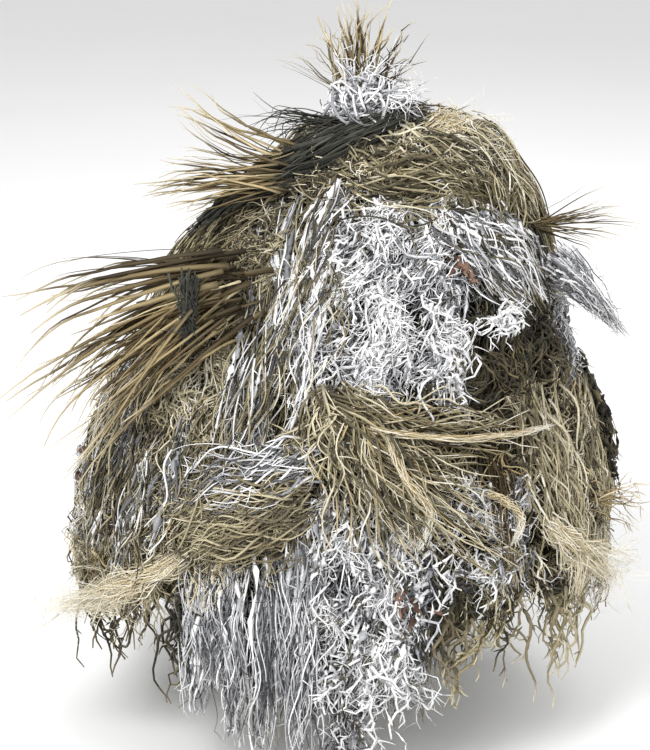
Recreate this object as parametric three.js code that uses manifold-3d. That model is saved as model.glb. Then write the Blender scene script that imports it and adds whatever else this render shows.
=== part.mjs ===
// Ghillie cape: a hooded camouflage cape with a face veil, a front that opens on a placket,
// rows of jute and burlap fringe, and bundles of grass, reeds and combed-out jute.
// Millimetres, +Z up. The origin is where the cape sits on the wearer's neck. The wearer faces
// -Y, so the wearer's left is +X. Soft layers are closed solids of the right size and place.
import * as THREE from "three";
import { mergeVertices } from "three/addons/utils/BufferGeometryUtils.js";
import Module from "manifold-3d";

const wasm = await Module();
wasm.setup();

// ---- driving dimensions -------------------------------------------------------------------
const NECK_HALF_WIDTH = 108; // half width of the neck opening
const NECK_HEIGHT = 8; // the neck seam above the origin
const SHOULDER_HALF_WIDTH = 290; // half width where the shoulders turn down
const SHOULDER_DROP = 84; // shoulder turn below the origin
const HEM_HALF_WIDTH = 388; // half width at the hem
const HEM_DROP = 520; // hem below the origin
const DEPTH_RATIO = 0.82; // front-to-back size over width
const LEAN = 0.1; // sideways shift of the body per unit of height
const HOOD_HALF_WIDTH = 126; // half width of the hood at the ears
const HOOD_TOP = 252; // top of the hood's cloth
const HOOD_LEAN = 22; // extra sideways shift of the crown

const CLOTH = 3; // thickness of a sewn cloth panel
const NET_GAP = 2; // cloth to net
const NET = 2; // thickness of a net panel
const GARNISH_GAP = 3; // net to the garnish tied on it
const GARNISH = 46; // thickness of a full row of garnish
const SEAM = 0.4; // gap between panels that are sewn edge to edge
const LEVEL_SEAM = 1.2; // gap below the yoke, whose facets differ from the panels'
const ROW_GAP = 4; // gap between rows of garnish
const FOLD_GAP = 4.2; // degrees of garnish left off each side of a side seam

const SIDE_SEAM = 65; // degrees from the front to the front/side seam
const BACK_SEAM = 115; // degrees from the front to the side/back seam
const CHEST_DROP = 150; // bottom of the yoke below the origin
const FRONT_GAP = 5; // the yoke's bottom to the top of the fronts
const FACE_HALF_ANGLE = 42; // half of the face opening, in degrees round the hood
const BROW_HEIGHT = 172; // top of the face opening
const STAND_COLLAR = 32; // top of the collar above the origin

const VEIL_WIDTH_TOP = 190;
const VEIL_WIDTH_BOTTOM = 236;
const VEIL_BOTTOM = -118; // the veil's hem
const VEIL_SHIFT = 34; // the veil hangs this far to the wearer's left of the origin
const VEIL_BURLAP = 24; // thickness of the shredded burlap on the veil

const WEBBING = 25; // width of the chest strap's webbing
const WEBBING_THICK = 1.6;
const STRAP_DROP = 96; // chest strap below the origin
const STRAP_FORWARD = 158; // chest strap in front of the origin
const BUCKLE_TRAVEL = 30; // how far the prong pulls out

const deg = Math.PI / 180;

// ---- materials ----------------------------------------------------------------------------
function material(color, roughness = 0.95, metalness = 0) {
  return new THREE.MeshStandardMaterial({ color, roughness, metalness });
}
const canvas = material(0x5d5840);
const netCord = material(0x4b4f38);
const tanJute = material(0xa09169);
const oliveJute = material(0x4b4430);
const burlap = material(0xcfcfd2);
const reed = material(0xa98a5c);
const frayed = material(0xe8dfc6);
const webbing = material(0x3c3e30, 0.85);
const elastic = material(0x2f3129, 0.8);
const plastic = material(0x24261f, 0.45);
const steel = material(0x777468, 0.4, 0.8);
const fastener = material(0x44452f, 1);

const part = new THREE.Group();

function addNode(name, geometry, surface, place = part) {
  const mesh = new THREE.Mesh(geometry, surface);
  mesh.name = name;
  place.add(mesh);
  return mesh;
}

// ---- solids -------------------------------------------------------------------------------
function range(from, to, step) {
  const count = Math.max(1, Math.ceil(Math.abs(to - from) / step - 1e-9));
  return Array.from({ length: count + 1 }, (_, i) => from + ((to - from) * i) / count);
}

// A closed layer over a grid: point(u, v, d) gives a place d outward of the base surface.
function layer(point, us, vs, inner, outer, wraps = false) {
  const depth = (d, u, v) => (typeof d === "function" ? d(u, v) : d);
  const columns = wraps ? us.slice(0, -1) : us;
  const nu = columns.length;
  const nv = vs.length;
  const positions = [];
  for (const side of [inner, outer])
    for (const u of columns) for (const v of vs) positions.push(...point(u, v, depth(side, u, v)));
  const at = (side, i, j) => side * nu * nv + (i % nu) * nv + j;
  const faces = [];
  const quad = (a, b, c, d) => faces.push([a, b, c], [a, c, d]);
  const last = wraps ? nu : nu - 1;
  for (let i = 0; i < last; i++)
    for (let j = 0; j < nv - 1; j++) {
      quad(at(0, i, j), at(0, i + 1, j), at(0, i + 1, j + 1), at(0, i, j + 1));
      quad(at(1, i, j), at(1, i, j + 1), at(1, i + 1, j + 1), at(1, i + 1, j));
    }
  for (let i = 0; i < last; i++) {
    quad(at(0, i, 0), at(1, i, 0), at(1, i + 1, 0), at(0, i + 1, 0));
    quad(at(0, i + 1, nv - 1), at(1, i + 1, nv - 1), at(1, i, nv - 1), at(0, i, nv - 1));
  }
  if (!wraps)
    for (let j = 0; j < nv - 1; j++) {
      quad(at(0, 0, j + 1), at(1, 0, j + 1), at(1, 0, j), at(0, 0, j));
      quad(at(0, nu - 1, j), at(1, nu - 1, j), at(1, nu - 1, j + 1), at(0, nu - 1, j + 1));
    }
  return closed(positions, faces);
}

// Merges equal points, drops faces of no width and turns the body right way out.
function closed(positions, faces) {
  const raw = new THREE.BufferGeometry();
  raw.setAttribute("position", new THREE.Float32BufferAttribute(positions, 3));
  raw.setIndex(faces.flat());
  const merged = mergeVertices(raw, 1e-3);
  const index = merged.getIndex().array;
  const p = merged.getAttribute("position");
  const corner = (i) => new THREE.Vector3().fromBufferAttribute(p, i);
  const kept = [];
  let volume = 0;
  for (let i = 0; i < index.length; i += 3) {
    const [a, b, c] = [index[i], index[i + 1], index[i + 2]];
    if (a === b || b === c || a === c) continue;
    kept.push([a, b, c]);
    volume += corner(a).dot(corner(b).cross(corner(c)));
  }
  merged.setIndex(kept.map((f) => (volume < 0 ? [f[0], f[2], f[1]] : f)).flat());
  return merged;
}

function toManifold(geometry) {
  const g = geometry.clone();
  g.deleteAttribute("normal");
  g.deleteAttribute("uv");
  const m = mergeVertices(g, 1e-4);
  return new wasm.Manifold(
    new wasm.Mesh({
      numProp: 3,
      vertProperties: new Float32Array(m.getAttribute("position").array),
      triVerts: new Uint32Array(m.getIndex().array),
    })
  );
}

function fromManifold(solid) {
  const mesh = solid.getMesh();
  const g = new THREE.BufferGeometry();
  g.setAttribute("position", new THREE.BufferAttribute(mesh.vertProperties, 3));
  g.setIndex(new THREE.BufferAttribute(mesh.triVerts, 1));
  return g;
}

function join(geometries) {
  return fromManifold(geometries.map(toManifold).reduce((a, b) => a.add(b)));
}

function cut(geometry, tools) {
  return fromManifold(tools.map(toManifold).reduce((a, b) => a.subtract(b), toManifold(geometry)));
}

// A block from its lowest to its highest corner.
function block(low, high) {
  const g = new THREE.BoxGeometry(high[0] - low[0], high[1] - low[1], high[2] - low[2]);
  g.translate((low[0] + high[0]) / 2, (low[1] + high[1]) / 2, (low[2] + high[2]) / 2);
  return g;
}

// A tapered rod from one point to another.
function rod(from, to, startRadius, endRadius, sides = 5) {
  const a = new THREE.Vector3(...from);
  const b = new THREE.Vector3(...to);
  const g = new THREE.CylinderGeometry(endRadius, startRadius, a.distanceTo(b), sides);
  const turn = new THREE.Quaternion();
  turn.setFromUnitVectors(new THREE.Vector3(0, 1, 0), b.clone().sub(a).normalize());
  g.applyQuaternion(turn);
  g.translate(...a.add(b).multiplyScalar(0.5).toArray());
  return g;
}

// A flat band bent into a ring round a direction.
function band(centre, direction, radius, thick, width, sides = 12) {
  const profile = [
    [radius, -width / 2],
    [radius + thick, -width / 2],
    [radius + thick, width / 2],
    [radius, width / 2],
    [radius, -width / 2],
  ].map(([x, y]) => new THREE.Vector2(x, y));
  const g = new THREE.LatheGeometry(profile, sides);
  const turn = new THREE.Quaternion();
  turn.setFromUnitVectors(new THREE.Vector3(0, 1, 0), new THREE.Vector3(...direction).normalize());
  g.applyQuaternion(turn);
  g.translate(...centre);
  return g;
}

// ---- the cape's surface -------------------------------------------------------------------
// Half width and height down the cape, from the neck seam to the hem.
const yokeRise = NECK_HEIGHT + SHOULDER_DROP;
const yokeSpread = SHOULDER_HALF_WIDTH - NECK_HALF_WIDTH;
const cape = [
  [NECK_HALF_WIDTH, NECK_HEIGHT],
  [NECK_HALF_WIDTH + yokeSpread * 0.42, NECK_HEIGHT - yokeRise * 0.17],
  [NECK_HALF_WIDTH + yokeSpread * 0.8, NECK_HEIGHT - yokeRise * 0.56],
  [SHOULDER_HALF_WIDTH, -SHOULDER_DROP],
  [HEM_HALF_WIDTH, -HEM_DROP],
];
const SHOULDER = 3; // index of the shoulder turn in the list above
const HEM = 4;

const segmentNormal = (i) => {
  const [dr, dz] = [cape[i + 1][0] - cape[i][0], cape[i + 1][1] - cape[i][1]];
  const size = Math.hypot(dr, dz);
  return [-dz / size, dr / size];
};
const capeNormals = cape.map((_, i) => {
  if (i >= SHOULDER) return segmentNormal(SHOULDER);
  if (i === 0) return segmentNormal(0);
  const [a, b] = [segmentNormal(i - 1), segmentNormal(i)];
  const size = Math.hypot(a[0] + b[0], a[1] + b[1]);
  return [(a[0] + b[0]) / size, (a[1] + b[1]) / size];
});

const mix = (a, b, t) => a + (b - a) * t;

// s runs from 0 at the neck seam to 4 at the hem, theta round from the front towards +X.
function capePoint(theta, s, d) {
  const i = Math.min(Math.floor(s), HEM - 1);
  const t = s - i;
  const r = mix(cape[i][0], cape[i + 1][0], t) + d * mix(capeNormals[i][0], capeNormals[i + 1][0], t);
  const z = mix(cape[i][1], cape[i + 1][1], t) + d * mix(capeNormals[i][1], capeNormals[i + 1][1], t);
  const a = theta * deg;
  return [LEAN * z + r * Math.sin(a), -DEPTH_RATIO * r * Math.cos(a), z];
}

// The place s on the straight skirt that lies this far below the origin.
const skirtAt = (drop) => SHOULDER + (drop - SHOULDER_DROP) / (HEM_DROP - SHOULDER_DROP);
const skirtHalfWidth = (drop) => mix(SHOULDER_HALF_WIDTH, HEM_HALF_WIDTH, skirtAt(drop) - SHOULDER);

// Turns a gap in millimetres into degrees at a given half width.
const around = (gap, halfWidth) => gap / halfWidth / deg;

const STEP = 10; // degrees between the columns of a panel
const NET_IN = CLOTH + NET_GAP;
const NET_OUT = NET_IN + NET;
const ROW_IN = NET_OUT + GARNISH_GAP;
const ROW_OUT = ROW_IN + GARNISH;

function capePanel(from, to, top, bottom, inner, outer, step = STEP) {
  const stations = [top, ...[1, 2, 3].filter((s) => s > top + 0.05 && s < bottom - 0.05), bottom];
  return layer(capePoint, range(from, to, step), stations, inner, outer);
}

// ---- sewn cloth panels --------------------------------------------------------------------
const yokeBottom = skirtAt(CHEST_DROP);
const frontTop = skirtAt(CHEST_DROP + FRONT_GAP);
const sewn = around(SEAM / 2, NECK_HALF_WIDTH);
const sewnLow = around(SEAM / 2, SHOULDER_HALF_WIDTH);

addNode("yoke_front_left", capePanel(sewn, 90 - sewn, 0, yokeBottom, 0, CLOTH), canvas);
addNode("yoke_front_right", capePanel(-90 + sewn, -sewn, 0, yokeBottom, 0, CLOTH), canvas);
addNode("yoke_back", capePanel(90 + sewn, 270 - sewn, 0, yokeBottom, 0, CLOTH), canvas);

const sideTop = skirtAt(CHEST_DROP + LEVEL_SEAM);
for (const [side, sign] of [["left", 1], ["right", -1]]) {
  const arc = (a, b) => (sign > 0 ? [a, b] : [-b, -a]);
  const front = arc(sewnLow, SIDE_SEAM - sewnLow);
  const flank = arc(SIDE_SEAM + sewnLow, BACK_SEAM - sewnLow);
  const rear = arc(BACK_SEAM + sewnLow, 180 - sewnLow);
  addNode(`front_panel_${side}`, capePanel(...front, frontTop, HEM, 0, CLOTH), canvas);
  addNode(`side_panel_${side}`, capePanel(...flank, sideTop, HEM, 0, CLOTH), canvas);
  addNode(`back_panel_${side}`, capePanel(...rear, sideTop, HEM, 0, CLOTH), canvas);
  const netFront = arc(FOLD_GAP * 1.4, SIDE_SEAM - sewnLow);
  addNode(`front_net_${side}`, capePanel(...netFront, frontTop, HEM, NET_IN, NET_OUT), netCord);
  addNode(`side_net_${side}`, capePanel(...flank, sideTop, HEM, NET_IN, NET_OUT), netCord);
}
addNode(
  "back_net",
  capePanel(BACK_SEAM + sewnLow, 360 - BACK_SEAM - sewnLow, sideTop, HEM, NET_IN, NET_OUT),
  netCord
);

// ---- rows of garnish on the cape ----------------------------------------------------------
// The longest strands of a row hang straight down past the hem, in teeth of unequal length.
const fringeLengths = [92, 148, 74, 176, 118, 160, 84, 134];
function fringe(from, to, topDrop, longer) {
  const top = skirtAt(topDrop);
  const point = (theta, v, d) => {
    if (v <= 1) return capePoint(theta, mix(top, HEM, v), d);
    const [x, y, z] = capePoint(theta, HEM, d);
    const tooth = fringeLengths[Math.abs(Math.round(theta / 5)) % fringeLengths.length];
    return [x, y, z - tooth * longer];
  };
  const thin = (theta, v) => (v > 1 ? ROW_IN + GARNISH * 0.55 : ROW_OUT);
  const start = (theta, v) => (v > 1 ? ROW_IN + GARNISH * 0.25 : ROW_IN);
  return layer(point, range(from, to, STEP), [0, 1, 2], start, thin);
}

function row(from, to, topDrop, bottomDrop) {
  return layer(
    capePoint,
    range(from, to, STEP),
    [skirtAt(topDrop), skirtAt(bottomDrop)],
    ROW_IN,
    ROW_OUT
  );
}

const CHEST_ROW_BOTTOM = CHEST_DROP - 18; // the fronts rise past this as they swing
const FRONT_ROW_SPLIT = 335;
const BACK_ROW_SPLIT = 340;
const PLACKET_HALF = 4.4; // degrees each way of the middle that the placket flap covers
const FULL_LENGTH = 1;
const SHORTER = 0.55;

for (const [side, sign] of [["left", 1], ["right", -1]]) {
  const arc = (a, b) => (sign > 0 ? [a, b] : [-b, -a]);
  const flank = arc(SIDE_SEAM + FOLD_GAP, BACK_SEAM - 0.5);
  const sideFringe = fringe(...flank, CHEST_DROP + ROW_GAP, SHORTER);
  addNode(`side_fringe_${side}`, sideFringe, sign > 0 ? oliveJute : tanJute);
  // The left front's rows lap over the placket, so the right front's start beyond it.
  const inside = sign > 0 ? -PLACKET_HALF : PLACKET_HALF + 1;
  const front = arc(inside, SIDE_SEAM - FOLD_GAP);
  const upper = row(...front, CHEST_DROP + FRONT_GAP, FRONT_ROW_SPLIT);
  addNode(`front_fringe_upper_${side}`, upper, sign > 0 ? oliveJute : burlap);
  const lower = fringe(...front, FRONT_ROW_SPLIT + ROW_GAP, FULL_LENGTH);
  addNode(`front_fringe_lower_${side}`, lower, sign > 0 ? burlap : tanJute);
}
const backArc = [BACK_SEAM + 0.5, 360 - BACK_SEAM - 0.5];
addNode("back_fringe_upper", row(...backArc, CHEST_DROP + ROW_GAP, BACK_ROW_SPLIT), tanJute);
addNode("back_fringe_lower", fringe(...backArc, BACK_ROW_SPLIT + ROW_GAP, SHORTER), oliveJute);

// Shoulder and chest rows start clear of the hood and stop where the rows below begin.
const YOKE_ROW_TOP = 1.25;
const yokeRowBottom = skirtAt(CHEST_DROP - ROW_GAP);
const chestRowBottom = skirtAt(CHEST_ROW_BOTTOM);
const YOKE_ROW_OUT = ROW_IN + GARNISH * 0.8;
function yokeRow(from, to, bottom) {
  const stations = [YOKE_ROW_TOP, 2, SHOULDER, bottom];
  return layer(capePoint, range(from, to, STEP), stations, CLOTH + GARNISH_GAP, YOKE_ROW_OUT);
}
const CHEST_ARC = 62;
addNode("chest_jute", yokeRow(-CHEST_ARC, CHEST_ARC, chestRowBottom), tanJute);
addNode("shoulder_jute_left", yokeRow(CHEST_ARC + 1, 139, yokeRowBottom), oliveJute);
addNode("shoulder_jute_right", yokeRow(-139, -CHEST_ARC - 1, yokeRowBottom), tanJute);
addNode("nape_jute", yokeRow(140, 220, yokeRowBottom), oliveJute);

// ---- hood ---------------------------------------------------------------------------------
// Half width and height down the hood, from its top to its lower edge.
const HOOD_LOW = NECK_HEIGHT + CLOTH + 7; // the hood's lower edge, above the yoke
const HOOD_OVER_NECK = 5.4; // the hood's lower edge outside the neck seam
const CROWN_EDGE = HOOD_TOP - 38;
const hoodProfile = [
  [0, HOOD_TOP],
  [HOOD_HALF_WIDTH * 0.48, HOOD_TOP - 7],
  [HOOD_HALF_WIDTH * 0.82, CROWN_EDGE],
  [HOOD_HALF_WIDTH * 0.97, BROW_HEIGHT],
  [HOOD_HALF_WIDTH, BROW_HEIGHT - 60],
  [NECK_HALF_WIDTH + HOOD_OVER_NECK, HOOD_LOW],
];
const hoodNormals = [[0, 1], [0.3, 0.954], [0.72, 0.694], [0.97, 0.243], [1, 0], [1, 0]];
const HOOD_DEPTH = 0.98; // the head is nearly as deep as the hood is wide
const HOOD_BACK = 4; // the hood's middle behind the origin

function hoodPoint(theta, s, d) {
  const i = Math.min(Math.floor(s), hoodProfile.length - 2);
  const t = s - i;
  const r = mix(hoodProfile[i][0], hoodProfile[i + 1][0], t) +
    d * mix(hoodNormals[i][0], hoodNormals[i + 1][0], t);
  const z = mix(hoodProfile[i][1], hoodProfile[i + 1][1], t) +
    d * mix(hoodNormals[i][1], hoodNormals[i + 1][1], t);
  const a = theta * deg;
  const lean = LEAN * z + HOOD_LEAN * Math.max(0, z / HOOD_TOP);
  return [lean + r * Math.sin(a), HOOD_BACK - HOOD_DEPTH * r * Math.cos(a), z];
}

const hood = new THREE.Group();
part.add(hood);
const hoodSewn = around(SEAM / 2, HOOD_HALF_WIDTH * 0.8);
const HOOD_STEP = 20;
const crownAngles = range(-180, 180, HOOD_STEP);
addNode("hood_crown", layer(hoodPoint, crownAngles, [0, 1, 2 - 0.01], 0, CLOTH, true), canvas, hood);
const browArc = range(-FACE_HALF_ANGLE, FACE_HALF_ANGLE, 14);
addNode("hood_brow", layer(hoodPoint, browArc, [2.01, 3], 0, CLOTH), canvas, hood);
for (const [side, sign] of [["left", 1], ["right", -1]]) {
  const arc = (a, b) => (sign > 0 ? [a, b] : [-b, -a]);
  const wall = range(...arc(FACE_HALF_ANGLE + hoodSewn, 180 - hoodSewn), HOOD_STEP);
  addNode(`hood_wall_${side}`, layer(hoodPoint, wall, [2.01, 3, 4, 5], 0, CLOTH), canvas, hood);
  const jute = range(...arc(FACE_HALF_ANGLE + 14, 179), HOOD_STEP);
  const inner = CLOTH + GARNISH_GAP;
  const juteWall = layer(hoodPoint, jute, [2.1, 3, 4, 4.7], inner, GARNISH * 0.85);
  addNode(`hood_jute_${side}`, juteWall, sign > 0 ? tanJute : oliveJute, hood);
}
const crownJute = layer(
  hoodPoint,
  crownAngles,
  [0, 1, 2.04],
  CLOTH + GARNISH_GAP,
  GARNISH * 0.95,
  true
);
addNode("hood_jute_crown", crownJute, tanJute, hood);

// ---- face veil ----------------------------------------------------------------------------
// The veil hangs from the brow seam and lies in front of the chest row.
const browFront = hoodPoint(0, 3, 0)[1];
const chestFront = capePoint(0, chestRowBottom, YOKE_ROW_OUT)[1];
const VEIL_CLEAR = 6; // the veil to what lies behind it
const VEIL_TOP = BROW_HEIGHT + 4;
// Front-to-back place and height of the veil at the brow, over the chest, and at its hem.
const chestTurn = capePoint(0, SHOULDER - 1, YOKE_ROW_OUT);
const veilProfile = [
  [browFront - CLOTH - VEIL_CLEAR, VEIL_TOP],
  [chestTurn[1] - VEIL_CLEAR * 1.5, chestTurn[2] + VEIL_CLEAR * 3],
  [chestFront - VEIL_CLEAR * 1.5, VEIL_BOTTOM],
];
// down runs from 0 at the brow to 2 at the hem.
function veilPoint(across, down, d) {
  const i = down < 1 ? 0 : 1;
  const front = mix(veilProfile[i][0], veilProfile[i + 1][0], down - i);
  const z = mix(veilProfile[i][1], veilProfile[i + 1][1], down - i);
  const half = mix(VEIL_WIDTH_TOP, VEIL_WIDTH_BOTTOM, down / 2) / 2;
  return [VEIL_SHIFT * (1 - 0.15 * down) + half * across, front - d, z];
}
const veil = new THREE.Group();
hood.add(veil);
addNode("veil_net", layer(veilPoint, [-1, 0, 1], [0, 1, 2], 0, NET), netCord, veil);
const burlapIn = NET + 1;
const raggedEnds = [1.86, 2, 1.72, 2, 1.8]; // how far down each fifth of the burlap hangs
const veilBurlap = layer(
  (u, v, d) => veilPoint(u, v > 1 ? raggedEnds[Math.round((u + 1) * 2)] : v, d),
  range(-1, 1, 0.5),
  [0, 1, 2],
  burlapIn,
  burlapIn + VEIL_BURLAP
);
addNode("veil_burlap", veilBurlap, burlap, veil);

// ---- crown tuft ---------------------------------------------------------------------------
const crownTop = hoodPoint(0, 0, GARNISH * 0.95);
const tuftFoot = [crownTop[0] - 6, crownTop[1], crownTop[2] + 2];
const TUFT_RADIUS = 21;
const WRAP_THICK = 24;
const WRAP_HEIGHT = 52;
const TUFT_HEIGHT = 180;
// Each blade's lean to the left, lean forward and share of the tuft's height.
const tuftBlades = [
  [-0.62, -0.1, 0.55],
  [-0.3, 0.15, 0.8],
  [-0.12, -0.12, 0.98],
  [0.02, 0.1, 0.9],
  [0.16, -0.08, 1],
  [0.34, 0.12, 0.82],
  [0.7, -0.05, 0.62],
];
const BLADE = 2.2; // radius of a blade at its foot
const TIP = 0.8; // and at its tip
function sprig(foot, direction, stem, stemRadius, blades) {
  const toward = new THREE.Vector3(...direction).normalize();
  const root = new THREE.Vector3(...foot);
  const neck = root.clone().addScaledVector(toward, stem);
  const solids = [rod(foot, neck.toArray(), stemRadius, stemRadius * 0.8, 8)];
  const start = root.clone().addScaledVector(toward, stem * 0.85).toArray();
  for (const tip of blades) solids.push(rod(start, tip, BLADE, TIP, 4));
  return join(solids);
}
const tuftTips = tuftBlades.map(([left, forward, share]) => [
  tuftFoot[0] + left * TUFT_HEIGHT * 0.75,
  tuftFoot[1] + forward * TUFT_HEIGHT,
  tuftFoot[2] + share * TUFT_HEIGHT,
]);
addNode("tuft_grass", sprig(tuftFoot, [0, 0, 1], 70, TUFT_RADIUS, tuftTips), reed, hood);
const wrapCentre = [tuftFoot[0], tuftFoot[1], tuftFoot[2] + 2 + WRAP_HEIGHT / 2];
const tuftWrap = band(wrapCentre, [0, 0, 1], TUFT_RADIUS + 1, WRAP_THICK, WRAP_HEIGHT);
addNode("tuft_wrap", tuftWrap, burlap, hood);

// ---- reeds, sprigs and frayed hanks --------------------------------------------------------
// Tips are given from the sprig's foot: to the wearer's left, back and up.
function bundle(foot, stem, stemLength, stemRadius, reaches) {
  const tips = reaches.map((r) => [foot[0] + r[0], foot[1] + r[1], foot[2] + r[2]]);
  return sprig(foot, stem, stemLength, stemRadius, tips);
}
const BUNDLE_RADIUS = 12;
const PROUD = 14; // a bundle's middle in front of the row it lies on

const hoodReedFoot = hoodPoint(-100, 3.4, GARNISH * 0.85 + PROUD);
const hoodReedTips = [
  [-130, 30, 84],
  [-188, -10, 66],
  [-214, 20, 10],
  [-226, -30, -34],
  [-150, -60, -20],
];
const hoodReeds = bundle(hoodReedFoot, [-1, 0, 0.15], 36, BUNDLE_RADIUS * 0.7, hoodReedTips);
addNode("hood_reeds", hoodReeds, reed, hood);

const shoulderReedFoot = capePoint(-84, 2.45, YOKE_ROW_OUT + PROUD + 4);
const shoulderReedTips = [
  [-262, -30, -6],
  [-238, -50, -66],
  [-266, -70, -190],
  [-216, -40, -232],
  [-180, -90, -262],
  [-216, 40, -110],
];
const shoulderReeds = bundle(
  shoulderReedFoot,
  [-1, -0.12, -0.3],
  90,
  BUNDLE_RADIUS * 1.3,
  shoulderReedTips
);
addNode("shoulder_reeds_right", shoulderReeds, reed);
const shoulderLoopAt = new THREE.Vector3(-1, -0.12, -0.3).normalize().multiplyScalar(26);
addNode(
  "shoulder_loop_right",
  band(
    shoulderLoopAt.clone().add(new THREE.Vector3(...shoulderReedFoot)).toArray(),
    shoulderLoopAt.toArray(),
    BUNDLE_RADIUS * 1.3 + 0.6,
    2,
    14
  ),
  elastic
);

const leftSprigFoot = capePoint(80, 2.4, YOKE_ROW_OUT + PROUD);
const leftSprigTips = [
  [96, -20, 70],
  [128, 10, 40],
  [134, -10, 14],
  [104, -30, -16],
];
const leftSprig = bundle(leftSprigFoot, [1, 0, 0.3], 26, BUNDLE_RADIUS * 0.6, leftSprigTips);
addNode("shoulder_sprig_left", leftSprig, reed);

const sideSprigFoot = capePoint(76, skirtAt(330), ROW_OUT + PROUD - 2);
const sideSprigTips = [
  [64, -30, 26],
  [84, -20, -8],
  [72, -46, -40],
];
const sideSprig = bundle(sideSprigFoot, [1, -0.3, -0.1], 18, BUNDLE_RADIUS * 0.5, sideSprigTips);
addNode("side_sprig_left", sideSprig, reed);

const strandFoot = capePoint(-1, skirtAt(CHEST_DROP + FRONT_GAP + 14), ROW_OUT + PROUD + 5);
const strandTips = [
  [250, 20, -110],
  [214, -26, -160],
  [168, -46, -196],
  [120, -60, -250],
  [64, -66, -236],
  [26, -56, -170],
];
const strands = bundle(strandFoot, [0.6, -0.1, -0.8], 40, BUNDLE_RADIUS, strandTips);
addNode("front_strands", strands, tanJute);

// Hanks of combed-out jute stand out low on both sides, one end tied to the row behind.
const HANK_RADIUS = 9;
function frayedHank(foot, reach) {
  const tip = [foot[0] + reach[0], foot[1] + reach[1], foot[2] + reach[2]];
  return rod(foot, tip, HANK_RADIUS, HANK_RADIUS * 1.5, 8);
}
const hankFootRight = capePoint(-74, skirtAt(420), ROW_OUT + HANK_RADIUS + 8);
addNode("frayed_hank_right", frayedHank(hankFootRight, [-96, -40, -86]), frayed);
const hankFootLeft = capePoint(76, skirtAt(400), ROW_OUT + HANK_RADIUS + 10);
addNode("frayed_hank_left", frayedHank(hankFootLeft, [62, -44, -74]), frayed);

// ---- front placket ------------------------------------------------------------------------
const STRIP = 1.5; // thickness of a hook or loop strip
const STRIP_GAP = 0.4;
const placketTop = skirtAt(CHEST_DROP + FRONT_GAP + 2);
const placketBottom = skirtAt(HEM_DROP - 12);
const stripArc = [-PLACKET_HALF + 0.4, -0.8];
const loopIn = CLOTH + STRIP_GAP;
const hookIn = loopIn + STRIP + STRIP_GAP;
const flapIn = hookIn + STRIP + STRIP_GAP;
const placketStrip = (inner) =>
  capePanel(...stripArc, placketTop, placketBottom, inner, inner + STRIP);
addNode("placket_loop_strip", placketStrip(loopIn), fastener);
addNode("placket_hook_strip", placketStrip(hookIn), fastener);
const FLAP = 1; // thickness of the placket flap
const flapArc = [-PLACKET_HALF, PLACKET_HALF];
const flap = capePanel(...flapArc, placketTop, placketBottom, flapIn, flapIn + FLAP, STEP / 5);
addNode("placket_flap", flap, canvas);

// ---- collar and throat tab ----------------------------------------------------------------
const COLLAR_INSET = 8; // inside face of the collar inside the neck seam
const collarPoint = (theta, z, d) => {
  const r = NECK_HALF_WIDTH - COLLAR_INSET + d;
  return [LEAN * z + r * Math.sin(theta * deg), -DEPTH_RATIO * r * Math.cos(theta * deg), z];
};
const COLLAR_OPEN = 9;
const collarAngles = range(COLLAR_OPEN, 360 - COLLAR_OPEN, 18);
addNode("collar_band", layer(collarPoint, collarAngles, [-6, STAND_COLLAR], 0, CLOTH), canvas);

const collarFront = collarPoint(0, 0, CLOTH)[1];
const TAB_LOW = NECK_HEIGHT + CLOTH + 3;
const TAB_HIGH = STAND_COLLAR - 1;
const TAB_END = 32; // the tab's sewn end, to the left of the middle
const TAB_IN = collarFront - 1.6;
const tabMiddle = (TAB_LOW + TAB_HIGH) / 2;
const studAt = -20;
const HOLE = 3.4;
const NOSE = 2.2;
const tabBlank = block([studAt - 9, TAB_IN - 2, TAB_LOW], [TAB_END, TAB_IN, TAB_HIGH]);
const tabHole = rod([studAt, TAB_IN + 3, tabMiddle], [studAt, TAB_IN - 5, tabMiddle], HOLE, HOLE, 12);
addNode("throat_tab", cut(tabBlank, [tabHole]), webbing);
const capOuter = TAB_IN - 2.3;
const cap = rod([studAt, capOuter, tabMiddle], [studAt, capOuter - 2.4, tabMiddle], 6.5, 5, 12);
addNode("snap_cap", cap, steel);
const STUD_FLANGE = 5;
const collarOut = NECK_HALF_WIDTH - COLLAR_INSET + CLOTH;
const studAngle = Math.asin((studAt + STUD_FLANGE) / collarOut) / deg;
const studBase = collarPoint(studAngle, tabMiddle, CLOTH)[1] - 0.5;
const flangeEnds = [[studAt, studBase, tabMiddle], [studAt, studBase - 1, tabMiddle]];
const stud = join([
  rod(...flangeEnds, STUD_FLANGE, STUD_FLANGE, 12),
  rod([studAt, studBase - 0.5, tabMiddle], [studAt, TAB_IN - 1.6, tabMiddle], NOSE, NOSE, 12),
]);
addNode("snap_stud", stud, steel);

// ---- hanger loop --------------------------------------------------------------------------
const HANGER_WIDTH = 60;
const HANGER_HEIGHT = 28;
const HANGER_BAR = 8;
const HANGER_THICK = 3;
const HANGER_CLEAR = 3; // the loop to the collar behind it
const collarAtHanger = Math.hypot(NECK_HALF_WIDTH - COLLAR_INSET, HANGER_WIDTH / 2);
const hangerBack = DEPTH_RATIO * (2 * (NECK_HALF_WIDTH - COLLAR_INSET) - collarAtHanger) - HANGER_CLEAR;
const hangerFront = hangerBack - HANGER_THICK;
const hangerTop = 2;
const hangerBlank = block(
  [-HANGER_WIDTH / 2, hangerFront, hangerTop - HANGER_HEIGHT],
  [HANGER_WIDTH / 2, hangerBack, hangerTop]
);
const hangerSlot = block(
  [-HANGER_WIDTH / 2 + HANGER_BAR, hangerFront - 1, hangerTop - HANGER_HEIGHT + HANGER_BAR],
  [HANGER_WIDTH / 2 - HANGER_BAR, hangerBack + 1, hangerTop - HANGER_BAR]
);
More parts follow.
